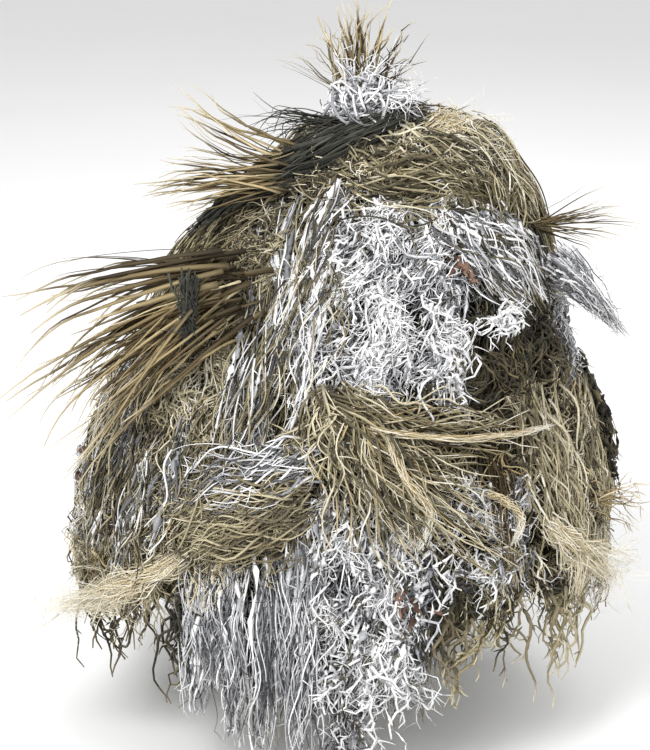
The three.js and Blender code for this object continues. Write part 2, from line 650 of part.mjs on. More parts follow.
addNode("hanger_loop", cut(hangerBlank, [hangerSlot]), webbing);

// ---- chest strap and buckle ---------------------------------------------------------------
const strapMiddle = -LEAN * STRAP_DROP;
const strapY = [-STRAP_FORWARD - WEBBING_THICK / 2, -STRAP_FORWARD + WEBBING_THICK / 2];
const strapZ = [-STRAP_DROP - WEBBING / 2, -STRAP_DROP + WEBBING / 2];
const STRAP_HALF = 146; // sewn end of the strap from its middle
const strapPiece = (from, to, grow = 0) =>
  block(
    [strapMiddle + from, strapY[0] - grow, strapZ[0] - grow],
    [strapMiddle + to, strapY[1] + grow, strapZ[1] + grow]
  );
const SOCKET = { from: -8, to: 30, half: 16, thick: 6 };
const socketBlank = block(
  [strapMiddle + SOCKET.from, -STRAP_FORWARD - SOCKET.thick, -STRAP_DROP - SOCKET.half],
  [strapMiddle + SOCKET.to, -STRAP_FORWARD + SOCKET.thick, -STRAP_DROP + SOCKET.half]
);
const PRONG_HALF = 11;
const PRONG_THICK = 3;
const BUCKLE_CLEAR = 0.6;
const socketHollow = block(
  [
    strapMiddle + SOCKET.from - 1,
    -STRAP_FORWARD - PRONG_THICK - BUCKLE_CLEAR,
    -STRAP_DROP - PRONG_HALF - BUCKLE_CLEAR,
  ],
  [
    strapMiddle + SOCKET.to - 8,
    -STRAP_FORWARD + PRONG_THICK + BUCKLE_CLEAR,
    -STRAP_DROP + PRONG_HALF + BUCKLE_CLEAR,
  ]
);
addNode("buckle_socket", cut(socketBlank, [socketHollow]), plastic);
addNode("chest_strap_left", strapPiece(SOCKET.to + SEAM, STRAP_HALF), webbing);

const ARM = 4; // width of each of the prong's arms
const prongRoot = SOCKET.from - SEAM - 1;
const prongBar = block(
  [strapMiddle + prongRoot - 12, -STRAP_FORWARD - SOCKET.thick, -STRAP_DROP - SOCKET.half],
  [strapMiddle + prongRoot, -STRAP_FORWARD + SOCKET.thick, -STRAP_DROP + SOCKET.half]
);
const prongArm = (low) =>
  block(
    [strapMiddle + prongRoot - 2, -STRAP_FORWARD - PRONG_THICK, -STRAP_DROP + low],
    [strapMiddle + SOCKET.to - 8 - 1, -STRAP_FORWARD + PRONG_THICK, -STRAP_DROP + low + ARM]
  );
const prongArms = [-PRONG_HALF, -ARM / 2, PRONG_HALF - ARM].map(prongArm);
addNode("buckle_prong", join([prongBar, ...prongArms]), plastic);
const tailEnd = -STRAP_HALF + BUCKLE_TRAVEL - 8;
addNode("chest_strap_right", strapPiece(tailEnd, prongRoot - 12 - SEAM), webbing);
const ADJUSTER_AT = -86;
const ADJUSTER_LONG = 22;
const adjusterBlank = block(
  [strapMiddle + ADJUSTER_AT - ADJUSTER_LONG, -STRAP_FORWARD - 4, -STRAP_DROP - WEBBING / 2 - 4],
  [strapMiddle + ADJUSTER_AT, -STRAP_FORWARD + 4, -STRAP_DROP + WEBBING / 2 + 4]
);
const adjusterSlot = strapPiece(ADJUSTER_AT - ADJUSTER_LONG - 1, ADJUSTER_AT + 1, 0.5);
addNode("strap_adjuster", cut(adjusterBlank, [adjusterSlot]), plastic);

// ---- arm loops ----------------------------------------------------------------------------
const ARM_LOOP_DROP = 380;
const ARM_LOOP_RADIUS = 52;
const ARM_LOOP_CLEAR = 16; // the loops to the side panels
for (const [side, sign] of [["left", 1], ["right", -1]]) {
  const out = skirtHalfWidth(ARM_LOOP_DROP) - ARM_LOOP_RADIUS - ARM_LOOP_CLEAR;
  const centre = [sign * out - LEAN * ARM_LOOP_DROP, 0, -ARM_LOOP_DROP];
  addNode(`arm_loop_${side}`, band(centre, [0, 0, 1], ARM_LOOP_RADIUS, 2, 30, 16), elastic);
}

export default part;
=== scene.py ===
"""Ghillie cape: garnish made of separate strands, cloth, net, grass and hardware round the CAD frame."""
import math

import bpy
import numpy as np
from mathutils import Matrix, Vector


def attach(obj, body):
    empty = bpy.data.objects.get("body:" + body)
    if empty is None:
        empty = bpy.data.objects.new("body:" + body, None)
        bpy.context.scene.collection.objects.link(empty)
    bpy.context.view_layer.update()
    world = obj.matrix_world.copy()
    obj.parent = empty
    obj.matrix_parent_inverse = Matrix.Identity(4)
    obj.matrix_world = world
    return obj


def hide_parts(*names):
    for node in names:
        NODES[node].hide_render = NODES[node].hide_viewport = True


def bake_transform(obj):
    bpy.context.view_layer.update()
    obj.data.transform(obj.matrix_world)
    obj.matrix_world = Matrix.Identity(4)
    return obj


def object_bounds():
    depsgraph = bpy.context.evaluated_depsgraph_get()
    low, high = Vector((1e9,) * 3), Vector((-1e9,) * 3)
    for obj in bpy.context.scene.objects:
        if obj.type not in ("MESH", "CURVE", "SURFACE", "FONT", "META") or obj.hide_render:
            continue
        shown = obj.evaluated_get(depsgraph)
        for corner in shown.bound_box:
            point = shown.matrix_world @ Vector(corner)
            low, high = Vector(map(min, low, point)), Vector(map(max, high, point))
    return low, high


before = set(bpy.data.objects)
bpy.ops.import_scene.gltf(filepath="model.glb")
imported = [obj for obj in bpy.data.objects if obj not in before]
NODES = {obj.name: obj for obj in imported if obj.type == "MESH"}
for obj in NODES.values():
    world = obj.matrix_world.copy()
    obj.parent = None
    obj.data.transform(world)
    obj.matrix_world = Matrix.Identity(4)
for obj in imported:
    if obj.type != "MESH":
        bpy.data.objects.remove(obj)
CAD_LOW, CAD_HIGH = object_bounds()


def add_object(name, data):
    """A new object in the scene."""
    made = bpy.data.objects.new(name, data)
    bpy.context.scene.collection.objects.link(made)
    return made


def metres(sizes):
    """Metres from millimetres, in which the garnish is given."""
    return np.asarray(sizes, float) / 1000


def unit(vectors):
    return vectors / (np.linalg.norm(vectors, axis=-1, keepdims=True) + 1e-12)


# ---- camera ---------------------------------------------------------------------------------
VIEW_ELEVATION = math.radians(20)
VIEW_DISTANCE = 3.6
VIEW_TARGET = Vector((-0.064, 0, -0.15))
VIEW_LENS = 109


def add_camera():
    data = bpy.data.cameras.new("camera")
    data.lens = VIEW_LENS
    camera = add_object("camera", data)
    back = Vector((0, -math.cos(VIEW_ELEVATION), math.sin(VIEW_ELEVATION)))
    camera.location = VIEW_TARGET + back * VIEW_DISTANCE
    camera.rotation_euler = (-back).to_track_quat("-Z", "Y").to_euler()
    bpy.context.scene.camera = camera


add_camera()

# ---- the cape's outer surface ---------------------------------------------------------------
# Height, half width and sideways middle of the outer surface, from the crown to the longest strands.
OUTLINE = np.array([
    [0.272, 0.0, 0.046],
    [0.262, 0.085, 0.047],
    [0.235, 0.138, 0.048],
    [0.150, 0.188, 0.046],
    [0.090, 0.226, 0.030],
    [0.030, 0.270, 0.004],
    [-0.050, 0.315, -0.016],
    [-0.140, 0.357, -0.030],
    [-0.280, 0.408, -0.040],
    [-0.400, 0.426, -0.042],
    [-0.520, 0.428, -0.042],
    [-0.760, 0.418, -0.042],
])
DENSE = 600  # steps of the smoothed outline
DEPTH_RATIO = 0.82  # front-to-back size over width
LEAN = 0.1  # sideways shift of the cloth per unit of height
HOOD_LEAN = 0.187


class Surface:
    """A surface by distance down from the crown (u), degrees round from the front and depth outward."""

    def __init__(self, rows, depth_ratio=DEPTH_RATIO, y=0.0, soft_steps=25):
        self.depth_ratio, self.y = depth_ratio, y
        leg = np.hypot(np.diff(rows[:, 0]), np.diff(rows[:, 1]))
        along = np.concatenate([[0], np.cumsum(leg)])
        u = np.linspace(0, along[-1], DENSE)
        window = np.hanning(soft_steps) / np.hanning(soft_steps).sum()

        def smooth(column):
            raw = np.interp(u, along, rows[:, column])
            return np.convolve(np.pad(raw, soft_steps // 2, mode="reflect", reflect_type="odd"), window,
                               "valid")

        self.z, self.r, self.middle = smooth(0), np.abs(smooth(1)), smooth(2)
        self.u = np.concatenate([[0], np.cumsum(np.hypot(np.diff(self.z), np.diff(self.r)))])
        dr, dz = np.gradient(self.r, self.u), np.gradient(self.z, self.u)
        size = np.hypot(dr, dz)
        self.nr, self.nz = -dz / size, dr / size

    def read(self, u, *names):
        return [np.interp(u, self.u, getattr(self, name)) for name in names]

    def place(self, theta, u, d):
        r, z, middle, nr, nz = self.read(u, "r", "z", "middle", "nr", "nz")
        a = np.radians(theta)
        x = middle + (r + d * nr) * np.sin(a)
        y = self.y - (self.depth_ratio * r + d * nr) * np.cos(a)
        return np.stack([x, y, z + d * nz], -1)

    def normal(self, theta, u):
        nr, nz = self.read(u, "nr", "nz")
        a = np.radians(theta)
        return unit(np.stack([nr * np.sin(a) * self.depth_ratio, -nr * np.cos(a), nz + 0 * a], -1))

    def down(self, z):
        """Distance down from the crown at a height."""
        return np.interp(-np.asarray(z, float), -self.z, self.u)


def leaning(rows, lean):
    """Surface rows from rows of radius and height, leaning sideways with height."""
    return np.array([[z, r, lean * z] for r, z in rows])


OUTER = Surface(OUTLINE, soft_steps=41)
CAPE = Surface(leaning([(0.108, 0.008), (0.184, -0.008), (0.254, -0.044), (0.290, -0.084), (0.388, -0.520)],
                       LEAN))
HOOD = Surface(
    leaning([(0, 0.252), (0.060, 0.245), (0.103, 0.214), (0.122, 0.172), (0.126, 0.112), (0.1134, 0.018)],
            HOOD_LEAN),
    depth_ratio=0.98,
    y=0.004,
)

# ---- materials ------------------------------------------------------------------------------
COLUMNS = 64  # a strand's colour is one of these columns of its map
MAP = "OFBake"


def linear(colour):
    """Linear light from a hex colour."""
    parts = [int(colour[i : i + 2], 16) / 255 for i in (0, 2, 4)]
    return [p / 12.92 if p <= 0.04045 else ((p + 0.055) / 1.055) ** 2.4 for p in parts] + [1]


class Tree:
    """A material's node tree, with short calls for the nodes it needs."""

    def __init__(self, name, roughness, specular=0.25):
        self.material = bpy.data.materials.new(name)
        self.material.use_nodes = True
        self.tree = self.material.node_tree
        self.shader = self.tree.nodes["Principled BSDF"]
        self.shader.inputs["Roughness"].default_value = roughness
        self.shader.inputs["Specular IOR Level"].default_value = specular

    def node(self, kind, inputs=None, **settings):
        made = self.tree.nodes.new(kind)
        for key, value in settings.items():
            setattr(made, key, value)
        for key, value in (inputs or {}).items():
            self.plug(value, made.inputs[key])
        return made

    def plug(self, source, target):
        if isinstance(source, (int, float, list)):
            target.default_value = source
        else:
            self.tree.links.new(source, target)

    def math(self, kind, a, b=0.0, c=0.0):
        return self.node("ShaderNodeMath", {0: a, 1: b, 2: c}, operation=kind).outputs[0]

    def ramp(self, value, stops):
        made = self.node("ShaderNodeValToRGB", {0: value})
        elements = made.color_ramp.elements
        while len(elements) < len(stops):
            elements.new(0.5)
        for element, (place, colour) in zip(elements, stops):
            element.position = place
            element.color = linear(colour)
        return made.outputs[0]

    def noise(self, vector, scale, detail=3.0):
        inputs = {"Vector": vector, "Scale": scale, "Detail": detail, "Roughness": 0.6}
        return self.node("ShaderNodeTexNoise", inputs).outputs["Fac"]

    def mix(self, share, a, b):
        colours = [linear(value) if isinstance(value, str) else value for value in (a, b)]
        return self.node("ShaderNodeMix", {0: share, 6: colours[0], 7: colours[1]},
                         data_type="RGBA").outputs[2]

    def brightness(self, colour, value):
        return self.node("ShaderNodeHueSaturation", {"Value": value, "Color": colour}).outputs[0]

    def bump(self, height, strength, distance):
        made = self.node("ShaderNodeBump", {"Strength": strength, "Distance": distance, "Height": height})
        self.plug(made.outputs[0], self.shader.inputs["Normal"])

    def object_place(self):
        return self.node("ShaderNodeTexCoord").outputs["Object"]

    def colour(self, colour):
        self.plug(colour, self.shader.inputs["Base Color"])
        return self.material


def strand_material(name, palette, painted_root_shade, tip_colour, tip_from, twist=9.0, roughness=0.92, sheen=0.12):
    """Colour by column from the palette, darker at the root as painted shade, another colour at the tip, with
    fine streaks of fibre tone and painted twist shade.
    """
    t = Tree(name, roughness)
    t.shader.inputs["Sheen Weight"].default_value = sheen
    split = t.node("ShaderNodeSeparateXYZ", {0: t.node("ShaderNodeUVMap", uv_map=MAP).outputs[0]})
    scaled = t.math("MULTIPLY", split.outputs[0], COLUMNS)
    column = t.math("DIVIDE", t.math("ADD", t.math("FLOOR", scaled), 0.5), COLUMNS)
    across, along = t.math("FRACT", scaled), split.outputs[1]
    turned = t.math("ADD", t.math("MULTIPLY", across, 5.0), t.math("MULTIPLY", along, twist))
    own = t.math("MULTIPLY", column, 77.0)  # so that no two columns show the same streaks
    place = t.node("ShaderNodeCombineXYZ", {0: turned, 1: t.math("MULTIPLY", along, twist * 3.0), 2: own})
    # Streaks of fibre tone with painted shade along the yarn's twist; the same noise gives the bump.
    streak = t.noise(place.outputs[0], 1.6, 4.0)
    streak_tone_and_shade = t.math("MULTIPLY_ADD", streak, 1.1, 0.42)
    # Painted shade: each strand is darkened towards its root, where it goes into the garnish.
    root = t.math("MINIMUM", t.math("MULTIPLY_ADD", along, 3.2, painted_root_shade), 1.0)
    base = t.brightness(t.ramp(column, palette), t.math("MULTIPLY", streak_tone_and_shade, root))
    tip = t.math("MULTIPLY_ADD", t.math("SUBTRACT", along, tip_from), 1 / max(0.05, 1 - tip_from), 0.0)
    tip = t.math("MINIMUM", t.math("MAXIMUM", tip, 0.0), 0.85)
    t.bump(streak, 0.5, 0.002)
    return t.colour(t.mix(tip, base, tip_colour))


TAN, OLIVE, WHITE, REED = "tan_jute", "olive_jute", "white_burlap", "reed"
CREAM, DARK, LEAF, NET = "frayed_jute", "charcoal", "leaf", "net"
TAN_STOPS = [(0.0, "3d372b"), (0.2, "6e644e"), (0.45, "9d9272"), (0.7, "bfb493"), (0.9, "dfd6bd"),
             (1.0, "f3eedd")]
OLIVE_STOPS = [(0.0, "1c1a13"), (0.3, "383325"), (0.6, "524b38"), (0.85, "6e664d"), (1.0, "918868")]
# The grey end of the white palette is partly painted shade for white fibres that lie in shade, partly greyer
# burlap.
WHITE_STOPS = [(0.0, "37383a"), (0.2, "68696d"), (0.4, "a4a5a9"), (0.55, "e4e4e6"), (0.7, "fbfbfb"),
               (1.0, "ffffff")]
REED_STOPS = [(0.0, "32291b"), (0.3, "5e5038"), (0.6, "8c7c59"), (0.85, "b9a77e"), (1.0, "ddcfab")]
CREAM_STOPS = [(0.0, "a58f63"), (0.3, "cdbb90"), (0.6, "e6dabb"), (1.0, "fbf6e6")]
DARK_STOPS = [(0.0, "17170f"), (0.5, "2c2c26"), (1.0, "55554b")]
LEAF_STOPS = [(0.0, "3a2a22"), (0.5, "6e5144"), (1.0, "937764")]
NET_STOPS = [(0.0, "35351f"), (0.5, "4b4a2f"), (1.0, "615f42")]
# In each call below, the third value is the brightness left at the root by the painted shade.
MATERIALS = {
    TAN: strand_material("tan jute", TAN_STOPS, 0.45, "e9dfc0", 0.8),
    OLIVE: strand_material("olive jute", OLIVE_STOPS, 0.5, "837752", 0.75),
    WHITE: strand_material("white burlap", WHITE_STOPS, 0.75, "ffffff", 0.9, twist=5.0),
    REED: strand_material("dry reed", REED_STOPS, 0.35, "e6d8b6", 0.72, twist=1.2, roughness=0.6, sheen=0.0),
    CREAM: strand_material("combed jute", CREAM_STOPS, 0.7, "fffdf2", 0.6),
    DARK: strand_material("charcoal strip", DARK_STOPS, 0.8, "4a4a42", 0.8),
    LEAF: strand_material("dead leaf", LEAF_STOPS, 0.8, "a58c78", 0.7, twist=2.0),
    NET: strand_material("net cord", NET_STOPS, 1.0, "615f42", 0.99, twist=90.0, sheen=0.0),
}


# ---- strands --------------------------------------------------------------------------------
class Collector:
    """Gathers strands and makes them one mesh of closed, tapered tubes."""

    def __init__(self):
        self.verts, self.quads, self.uvs, self.count = [], [], [], 0

    def add(self, points, facing, radius, column, flat=1.0, sides=3, taper=0.35, swell=0.0, twist=None):
        """Tubes through rows of points; taper is the share of the radius that is left at the tip."""
        n, k, _ = points.shape
        t = np.linspace(0, 1, k)
        tangent = unit(np.gradient(points, axis=1))
        side = unit(np.cross(tangent, facing))
        up = np.cross(side, tangent)
        if twist is not None:
            c, s = np.cos(twist)[..., None], np.sin(twist)[..., None]
            side, up = side * c + up * s, up * c - side * s
        profile = (taper + (1 - taper) * (1 - t) ** 0.7) * (1 - swell + swell * np.sin(np.pi * t))
        r = (radius[:, None] if radius.ndim == 1 else radius) * profile
        corner = np.arange(sides)
        angle = (2 * np.pi * corner / sides)[:, None]
        wide, thick = r[..., None, None], (r * flat)[..., None, None]
        ring = np.cos(angle) * side[:, :, None] * wide + np.sin(angle) * up[:, :, None] * thick
        self.verts.append((points[:, :, None] + ring).reshape(-1, 3))
        foot = self.count + np.arange(n)[:, None, None] * (k * sides)
        row = foot + np.arange(k - 1)[:, None] * sides
        a, b = row + corner, row + (corner + 1) % sides
        self.quads.append(np.stack([a, b, b + sides, a + sides], -1).reshape(-1, 4))
        column = np.clip(column, 0, COLUMNS - 1)[:, None, None]
        u0, u1 = ((column + 0.08 + 0.84 * (corner + i) / sides) / COLUMNS for i in (0, 1))
        v = np.clip(t, 0.004, 0.996)[:, None]
        edges = ((u0, v[:-1]), (u1, v[:-1]), (u1, v[1:]), (u0, v[1:]))
        uv = np.stack([np.stack(np.broadcast_arrays(*edge, a)[:2], -1) for edge in edges], -2)
        self.uvs.append(uv.reshape(-1, 4, 2))
        for end, order in ((0, -1), (k - 1, 1)):
            cap = foot[:, 0] + end * sides + corner[::order]
            self.quads.append(cap[:, [0, 1, 2, 0]] if sides == 3 else cap[:, :4])
            cap_uv = np.zeros((n, 4, 2))
            cap_uv[..., 0] = (column[:, 0] + np.array([0.2, 0.8, 0.8, 0.2])) / COLUMNS
            cap_uv[..., 1] = v[end] - order * np.array([0, 0, 0.003, 0.003])
            self.uvs.append(cap_uv)
        self.count += n * k * sides

    def build(self, name, material):
        verts = np.concatenate(self.verts).astype(np.float32)
        quads = np.concatenate(self.quads).astype(np.int32)
        uvs = np.concatenate(self.uvs).astype(np.float32)
        is_triangle = quads[:, 0] == quads[:, 3]
        total = np.where(is_triangle, 3, 4).astype(np.int32)
        keep = np.ones_like(quads, bool)
        keep[is_triangle, 3] = False
        corners = quads[keep]
        mesh = bpy.data.meshes.new(name)
        mesh.vertices.add(len(verts))
        mesh.vertices.foreach_set("co", verts.ravel())
        mesh.loops.add(len(corners))
        mesh.loops.foreach_set("vertex_index", corners)
        mesh.polygons.add(len(quads))
        mesh.polygons.foreach_set("loop_start", np.concatenate([[0], np.cumsum(total)[:-1]]).astype(np.int32))
        mesh.polygons.foreach_set("loop_total", total)
        mesh.polygons.foreach_set("use_smooth", np.ones(len(quads), bool))
        mesh.uv_layers.new(name=MAP).data.foreach_set("uv", uvs[keep].ravel())
        mesh.update(calc_edges=True)
        mesh.materials.append(material)
        return add_object(name, mesh)


# ---- which body carries a strand ------------------------------------------------------------
NECK_Z = 0.03  # strands tied above this hang from the hood
FRONT_TOP_Z = -0.155  # strands tied below this hang from the fronts, sides or back
SPLIT_Z = -0.335  # upper rows from lower rows
SIDE_SEAM = 65  # degrees round from the front, as are the next three
BACK_SEAM = 115
FACE_HALF_ANGLE = 40
HOOD_FRONT = 128  # behind this the strands of the hood go to the nape and are not cut short at the neck
BROW_Z = 0.172


def zone_of(theta, z):
    """The name of the zone that a strand tied at this place belongs to."""
    theta = (np.asarray(theta) + 180) % 360 - 180
    off_middle = np.abs(theta)
    side = np.where(theta > 0, "left", "right")
    level = np.where(z > SPLIT_Z, "upper", "lower")
    front = np.char.add(np.char.add("front_", side), np.char.add("_", level))
    flank = np.where(off_middle < BACK_SEAM, np.char.add("side_", side), np.char.add("back_", level))
    low = np.where(off_middle < SIDE_SEAM, front, flank)
    high = np.where(off_middle < SIDE_SEAM, np.char.add("chest_", side), "shoulders")
    over_face = (off_middle < FACE_HALF_ANGLE) & (z < BROW_Z) & (z > NECK_Z)
    on_hood = np.where(off_middle < HOOD_FRONT, "hood", "nape")
    return np.where(over_face, "veil", np.where(z > NECK_Z, on_hood, np.where(z > FRONT_TOP_Z, high, low)))


def above_neck(theta, z, length):
    """Strands on the front half of the hood are cut to end near the neck, so that the hood can fold back."""
    theta = (theta + 180) % 360 - 180
    on_hood = (z > NECK_Z) & (np.abs(theta) < HOOD_FRONT)
    return np.where(on_hood, np.minimum(length, 1.25 * (z - NECK_Z) + 0.05), length)


RIDES = {
    "hood": "hood",
    "veil": "veil",
    **{zone: "cape" for zone in ("shoulders", "side_left", "side_right", "back_upper", "back_lower")},
    **{f"front_{side}_{level}": f"front_{side}" for side in ("left", "right") for level in ("upper", "lower")},
}
# Piece: the CAD parts that it stands for, which are hidden when it is made.
STANDS_FOR = {
    "hood_tan_jute": ["hood_jute_crown", "hood_jute_left"],
    "hood_olive_jute": ["hood_jute_right"],
    "hood_reed": ["tuft_grass", "hood_reeds"],
    "hood_white_burlap": ["tuft_wrap"],
    "chest_left_tan_jute": ["chest_jute"],
    "shoulders_tan_jute": ["shoulder_jute_right"],
    "shoulders_olive_jute": ["shoulder_jute_left", "nape_jute"],
    "shoulders_reed": ["shoulder_reeds_right", "shoulder_sprig_left"],
    "side_left_olive_jute": ["side_fringe_left"],
    "side_left_reed": ["side_sprig_left"],
    "side_right_tan_jute": ["side_fringe_right"],
    "back_upper_tan_jute": ["back_fringe_upper"],
    "back_lower_olive_jute": ["back_fringe_lower"],
    "front_left_upper_olive_jute": ["front_fringe_upper_left"],
    "front_left_upper_tan_jute": ["front_strands"],
    "front_left_upper_frayed_jute": ["frayed_hank_left"],
    "front_left_lower_white_burlap": ["front_fringe_lower_left"],
    "front_right_upper_white_burlap": ["front_fringe_upper_right"],
    "front_right_upper_frayed_jute": ["frayed_hank_right"],
    "front_right_lower_tan_jute": ["front_fringe_lower_right"],
    "veil_white_burlap": ["veil_burlap"],
}
EVERYWHERE = -9.0  # a level that the surface field never falls to
FIELD_WAVES = 6
FORK_ANGLE = (25, 80)  # degrees off its strand
FORK_RADIUS = 0.6  # of its strand's radius
FORK_TONE = 6  # columns that a fork may be darker or paler
CLUMP_TONE = 0.17  # spread of tone inside a clump
ROUNDNESS = 0.92  # mean radius of a ring of the surface over its half width
bins = {}


def uniform(rng, pair, n):
    return rng.uniform(pair[0], pair[1], n)


def sizes(rng, pair, n):
    """Random sizes in metres between two in millimetres."""
    return uniform(rng, metres(pair), n)


def field(theta, u, seed):
    """A smooth random field over the surface, mostly between -1 and 1."""
    rng = np.random.default_rng(seed)
    x = np.radians(theta) * 0.34
    total = 0.0
    for _ in range(FIELD_WAVES):
        k, way, phase = rng.uniform(28, 85), rng.uniform(0, 2 * np.pi), rng.uniform(0, 2 * np.pi)
        total = total + np.sin(k * (x * np.cos(way) + u * np.sin(way)) + phase)
    return total / 2.4


SWIRL_FIELD, DEPTH_FIELD, TONE_FIELD, HOLE_FIELD = 5, 6, 7, 8


def flow(rng, theta, u, depth, length, angle, points, wiggle, settle=0.6, turns=1.4, ripple=0.006, lift=0.0,
         swirl=18):
    """Paths tied at (theta, u, depth) that run down, angle degrees off straight down, and swirl."""
    n = len(theta)
    t = np.linspace(0, 1, points)[None, :]
    phase = rng.uniform(0, 2 * np.pi, (4, n, 1))
    rate = rng.uniform(0.6, 1.4, (4, n, 1)) * turns
    sway = np.sin(2 * np.pi * rate[0] * t + phase[0]) + 0.6 * np.sin(4.6 * np.pi * rate[1] * t + phase[1])
    alpha = np.radians(angle)[:, None] * (1 - settle * t) + wiggle * sway
    step = length / (points - 1)
    around, down = [theta + 0.0], [u + 0.0]
    for k in range(1, points):
        turned = alpha[:, k - 1] + np.radians(swirl) * field(around[-1], down[-1], SWIRL_FIELD)
        r = np.maximum(OUTER.read(down[-1], "r")[0], 0.07)
        around.append(around[-1] + np.degrees(np.sin(turned) * step / r))
        down.append(np.maximum(down[-1] + np.cos(turned) * step, 0.004))
    around, down = np.stack(around, 1), np.stack(down, 1)
    wave = np.sin(2 * np.pi * rate[2] * t + phase[2]) + 0.5 * np.sin(5 * np.pi * rate[3] * t + phase[3])
    d = depth[:, None] + ripple * wave + lift * t**1.5 + 0.005 * field(around, down, DEPTH_FIELD)
    return OUTER.place(around, down, d), OUTER.normal(around, down)


def bend_through(way, t):
    """Points at shares t along a smooth line through the way points."""
    way = np.asarray(way, float)
    padded = np.concatenate([2 * way[:1] - way[1:2], way, 2 * way[-1:] - way[-2:-1]])
    place = np.clip(t, 0, 1) * (len(way) - 1)
    i = np.minimum(place.astype(int), len(way) - 2)
    f = (place - i)[..., None]
    p0, p1, p2, p3 = (padded[i + j] for j in range(4))
    cubic = (2 * p0 - 5 * p1 + 4 * p2 - p3) * f**2 + (3 * p1 - p0 - 3 * p2 + p3) * f**3
    return 0.5 * (2 * p1 + (p2 - p0) * f + cubic)


def forks(rng, points, facing, per, shortest, longest, count=5):
    """Short side strands that leave the given ones."""
    n, k, _ = points.shape
    pick = np.repeat(np.arange(n), per)
    at = rng.integers(1, k - 1, len(pick))
    ahead = unit(points[pick, at + 1] - points[pick, at - 1])
    out = facing[pick, at]
    side = np.cross(ahead, out) * rng.choice([-1, 1], len(pick))[:, None]
    a = np.radians(uniform(rng, FORK_ANGLE, len(pick)))[:, None]
    way = ahead * np.cos(a) + side * np.sin(a) + out * rng.normal(0.05, 0.2, (len(pick), 1))
    curl = ahead * rng.normal(0.25, 0.35, (len(pick), 1)) + out * rng.normal(-0.1, 0.2, (len(pick), 1))
    t = np.linspace(0, 1, count)[None, :, None]
    size = sizes(rng, (shortest, longest), len(pick))[:, None, None]
    paths = points[pick, at][:, None] + size * (t * way[:, None] + t**2 * curl[:, None])
    return paths, np.repeat(out[:, None], count, 1), pick


def columns(rng, n, tone, clump=None):
    """Palette columns between two shares of the palette, nearby strands alike when clump is given."""
    share = rng.random(n) if clump is None else np.clip(clump + rng.normal(0, CLUMP_TONE, n), 0, 1)
    return np.floor((tone[0] + (tone[1] - tone[0]) * share) * (COLUMNS - 1)).astype(int)


def put(slot, theta, z, points, facing, radius, column, zone=None, fork=None, rng=None, **shape):
    """Adds strands, and any forks on them, to the zones where they are tied."""
    if fork:
        small, out, pick = forks(rng, points, facing, *fork)
        thick = radius[pick] if radius.ndim == 1 else radius[pick, 0]
        tone = column[pick] + rng.integers(-FORK_TONE, FORK_TONE + 1, len(pick))
        put(slot, theta[pick], z[pick], small, out, thick * FORK_RADIUS, tone, zone)
    zones = np.full(len(theta), zone) if zone else zone_of(theta, z)
    for name in np.unique(zones):
        pick = zones == name
        part = {key: (value[pick] if isinstance(value, np.ndarray) else value) for key, value in shape.items()}
        collector = bins.setdefault((str(name), slot), Collector())
        collector.add(points[pick], facing[pick], radius[pick], column[pick], **part)


def open_ties(rng, theta, z, n, holes):
    """Places for ties, left out where the surface field is under the given level."""
    th, tz = uniform(rng, theta, n), sizes(rng, z, n)
    keep = field(th, OUTER.down(tz), HOLE_FIELD) > holes
    return th[keep], tz[keep]


# In the calls below, theta is in degrees round from the front, and heights, lengths, radii and depths are in
# millimetres. A fork is how many side strands leave each strand, and their shortest and longest. The tone is
# the darkest and the palest share of the palette. Each call draws from its own seed.
def hanks(seed, slot, theta, z, ties, strands, length, radius, tone, depth, spread=30, angle=(-12, 12),
          wiggle=0.3, zone=None, fork=None, swirl=18, holes=EVERYWHERE):
    """Bunches of strands: each bunch is tied at one point and opens out as it hangs."""
    rng = np.random.default_rng(seed)
    spread = spread / 1000
    tie_theta, tie_z = open_ties(rng, theta, z, ties, holes)
    ties = len(tie_theta)
    tie_u, tie_d = OUTER.down(tie_z), sizes(rng, depth, ties)
    tie_length, tie_angle = sizes(rng, length, ties), uniform(rng, angle, ties)
    tie_length *= np.where((tie_z > BROW_Z) & (np.abs(tie_theta) < FACE_HALF_ANGLE), 0.6, 1.0)
    if zone is None:
        tie_length = above_neck(tie_theta, tie_z, tie_length)
    tie_tone = 0.45 * rng.random(ties) + 0.275 * (1 + field(tie_theta, tie_u, TONE_FIELD))
    pick = np.repeat(np.arange(ties), strands)
    n = len(pick)
    r = np.maximum(OUTER.read(tie_u[pick], "r")[0], 0.1)
    around = tie_theta[pick] + np.degrees(rng.normal(0, spread * 0.3, n) / r)
    opening = np.degrees(rng.normal(0, spread, n) / np.maximum(tie_length[pick], 0.05))
    down = tie_u[pick] + rng.normal(0, 0.006, n)
    d = tie_d[pick] + rng.normal(0, 0.005, n)
    cut = tie_length[pick] * rng.uniform(0.6, 1.1, n)
    paths, facing = flow(rng, around, down, d, cut, tie_angle[pick] + opening, 12, wiggle, swirl=swirl)
    thick = sizes(rng, radius, n)
    column = columns(rng, n, tone, clump=tie_tone[pick])
    put(slot, tie_theta[pick], tie_z[pick], paths, facing, thick, column, zone=zone, fork=fork, rng=rng)


def tangle(seed, slot, theta, z, n, length, radius, tone, depth, fork=None, angle=(-80, 80), points=9,
           wiggle=0.8, zone=None, swirl=55, holes=EVERYWHERE):
    """Loose fibres lying every way over each other, pale and dark in patches."""
    rng = np.random.default_rng(seed)
    th, tz = open_ties(rng, theta, z, n, holes)
    n, u = len(th), OUTER.down(tz)
    cut = sizes(rng, length, n)
    d = sizes(rng, depth, n)
    if zone is None:
        cut = above_neck(th, tz, cut)
    lay = uniform(rng, angle, n)
    paths, facing = flow(rng, th, u, d, cut, lay, points, wiggle, settle=0.5, turns=1.2, swirl=swirl)
    patch = 0.5 * rng.random(n) + 0.25 * (1 + 1.3 * field(th, u, TONE_FIELD))
    thick = sizes(rng, radius, n)
    put(slot, th, tz, paths, facing, thick, columns(rng, n, tone, clump=patch), zone=zone, fork=fork, rng=rng,
        taper=0.5)


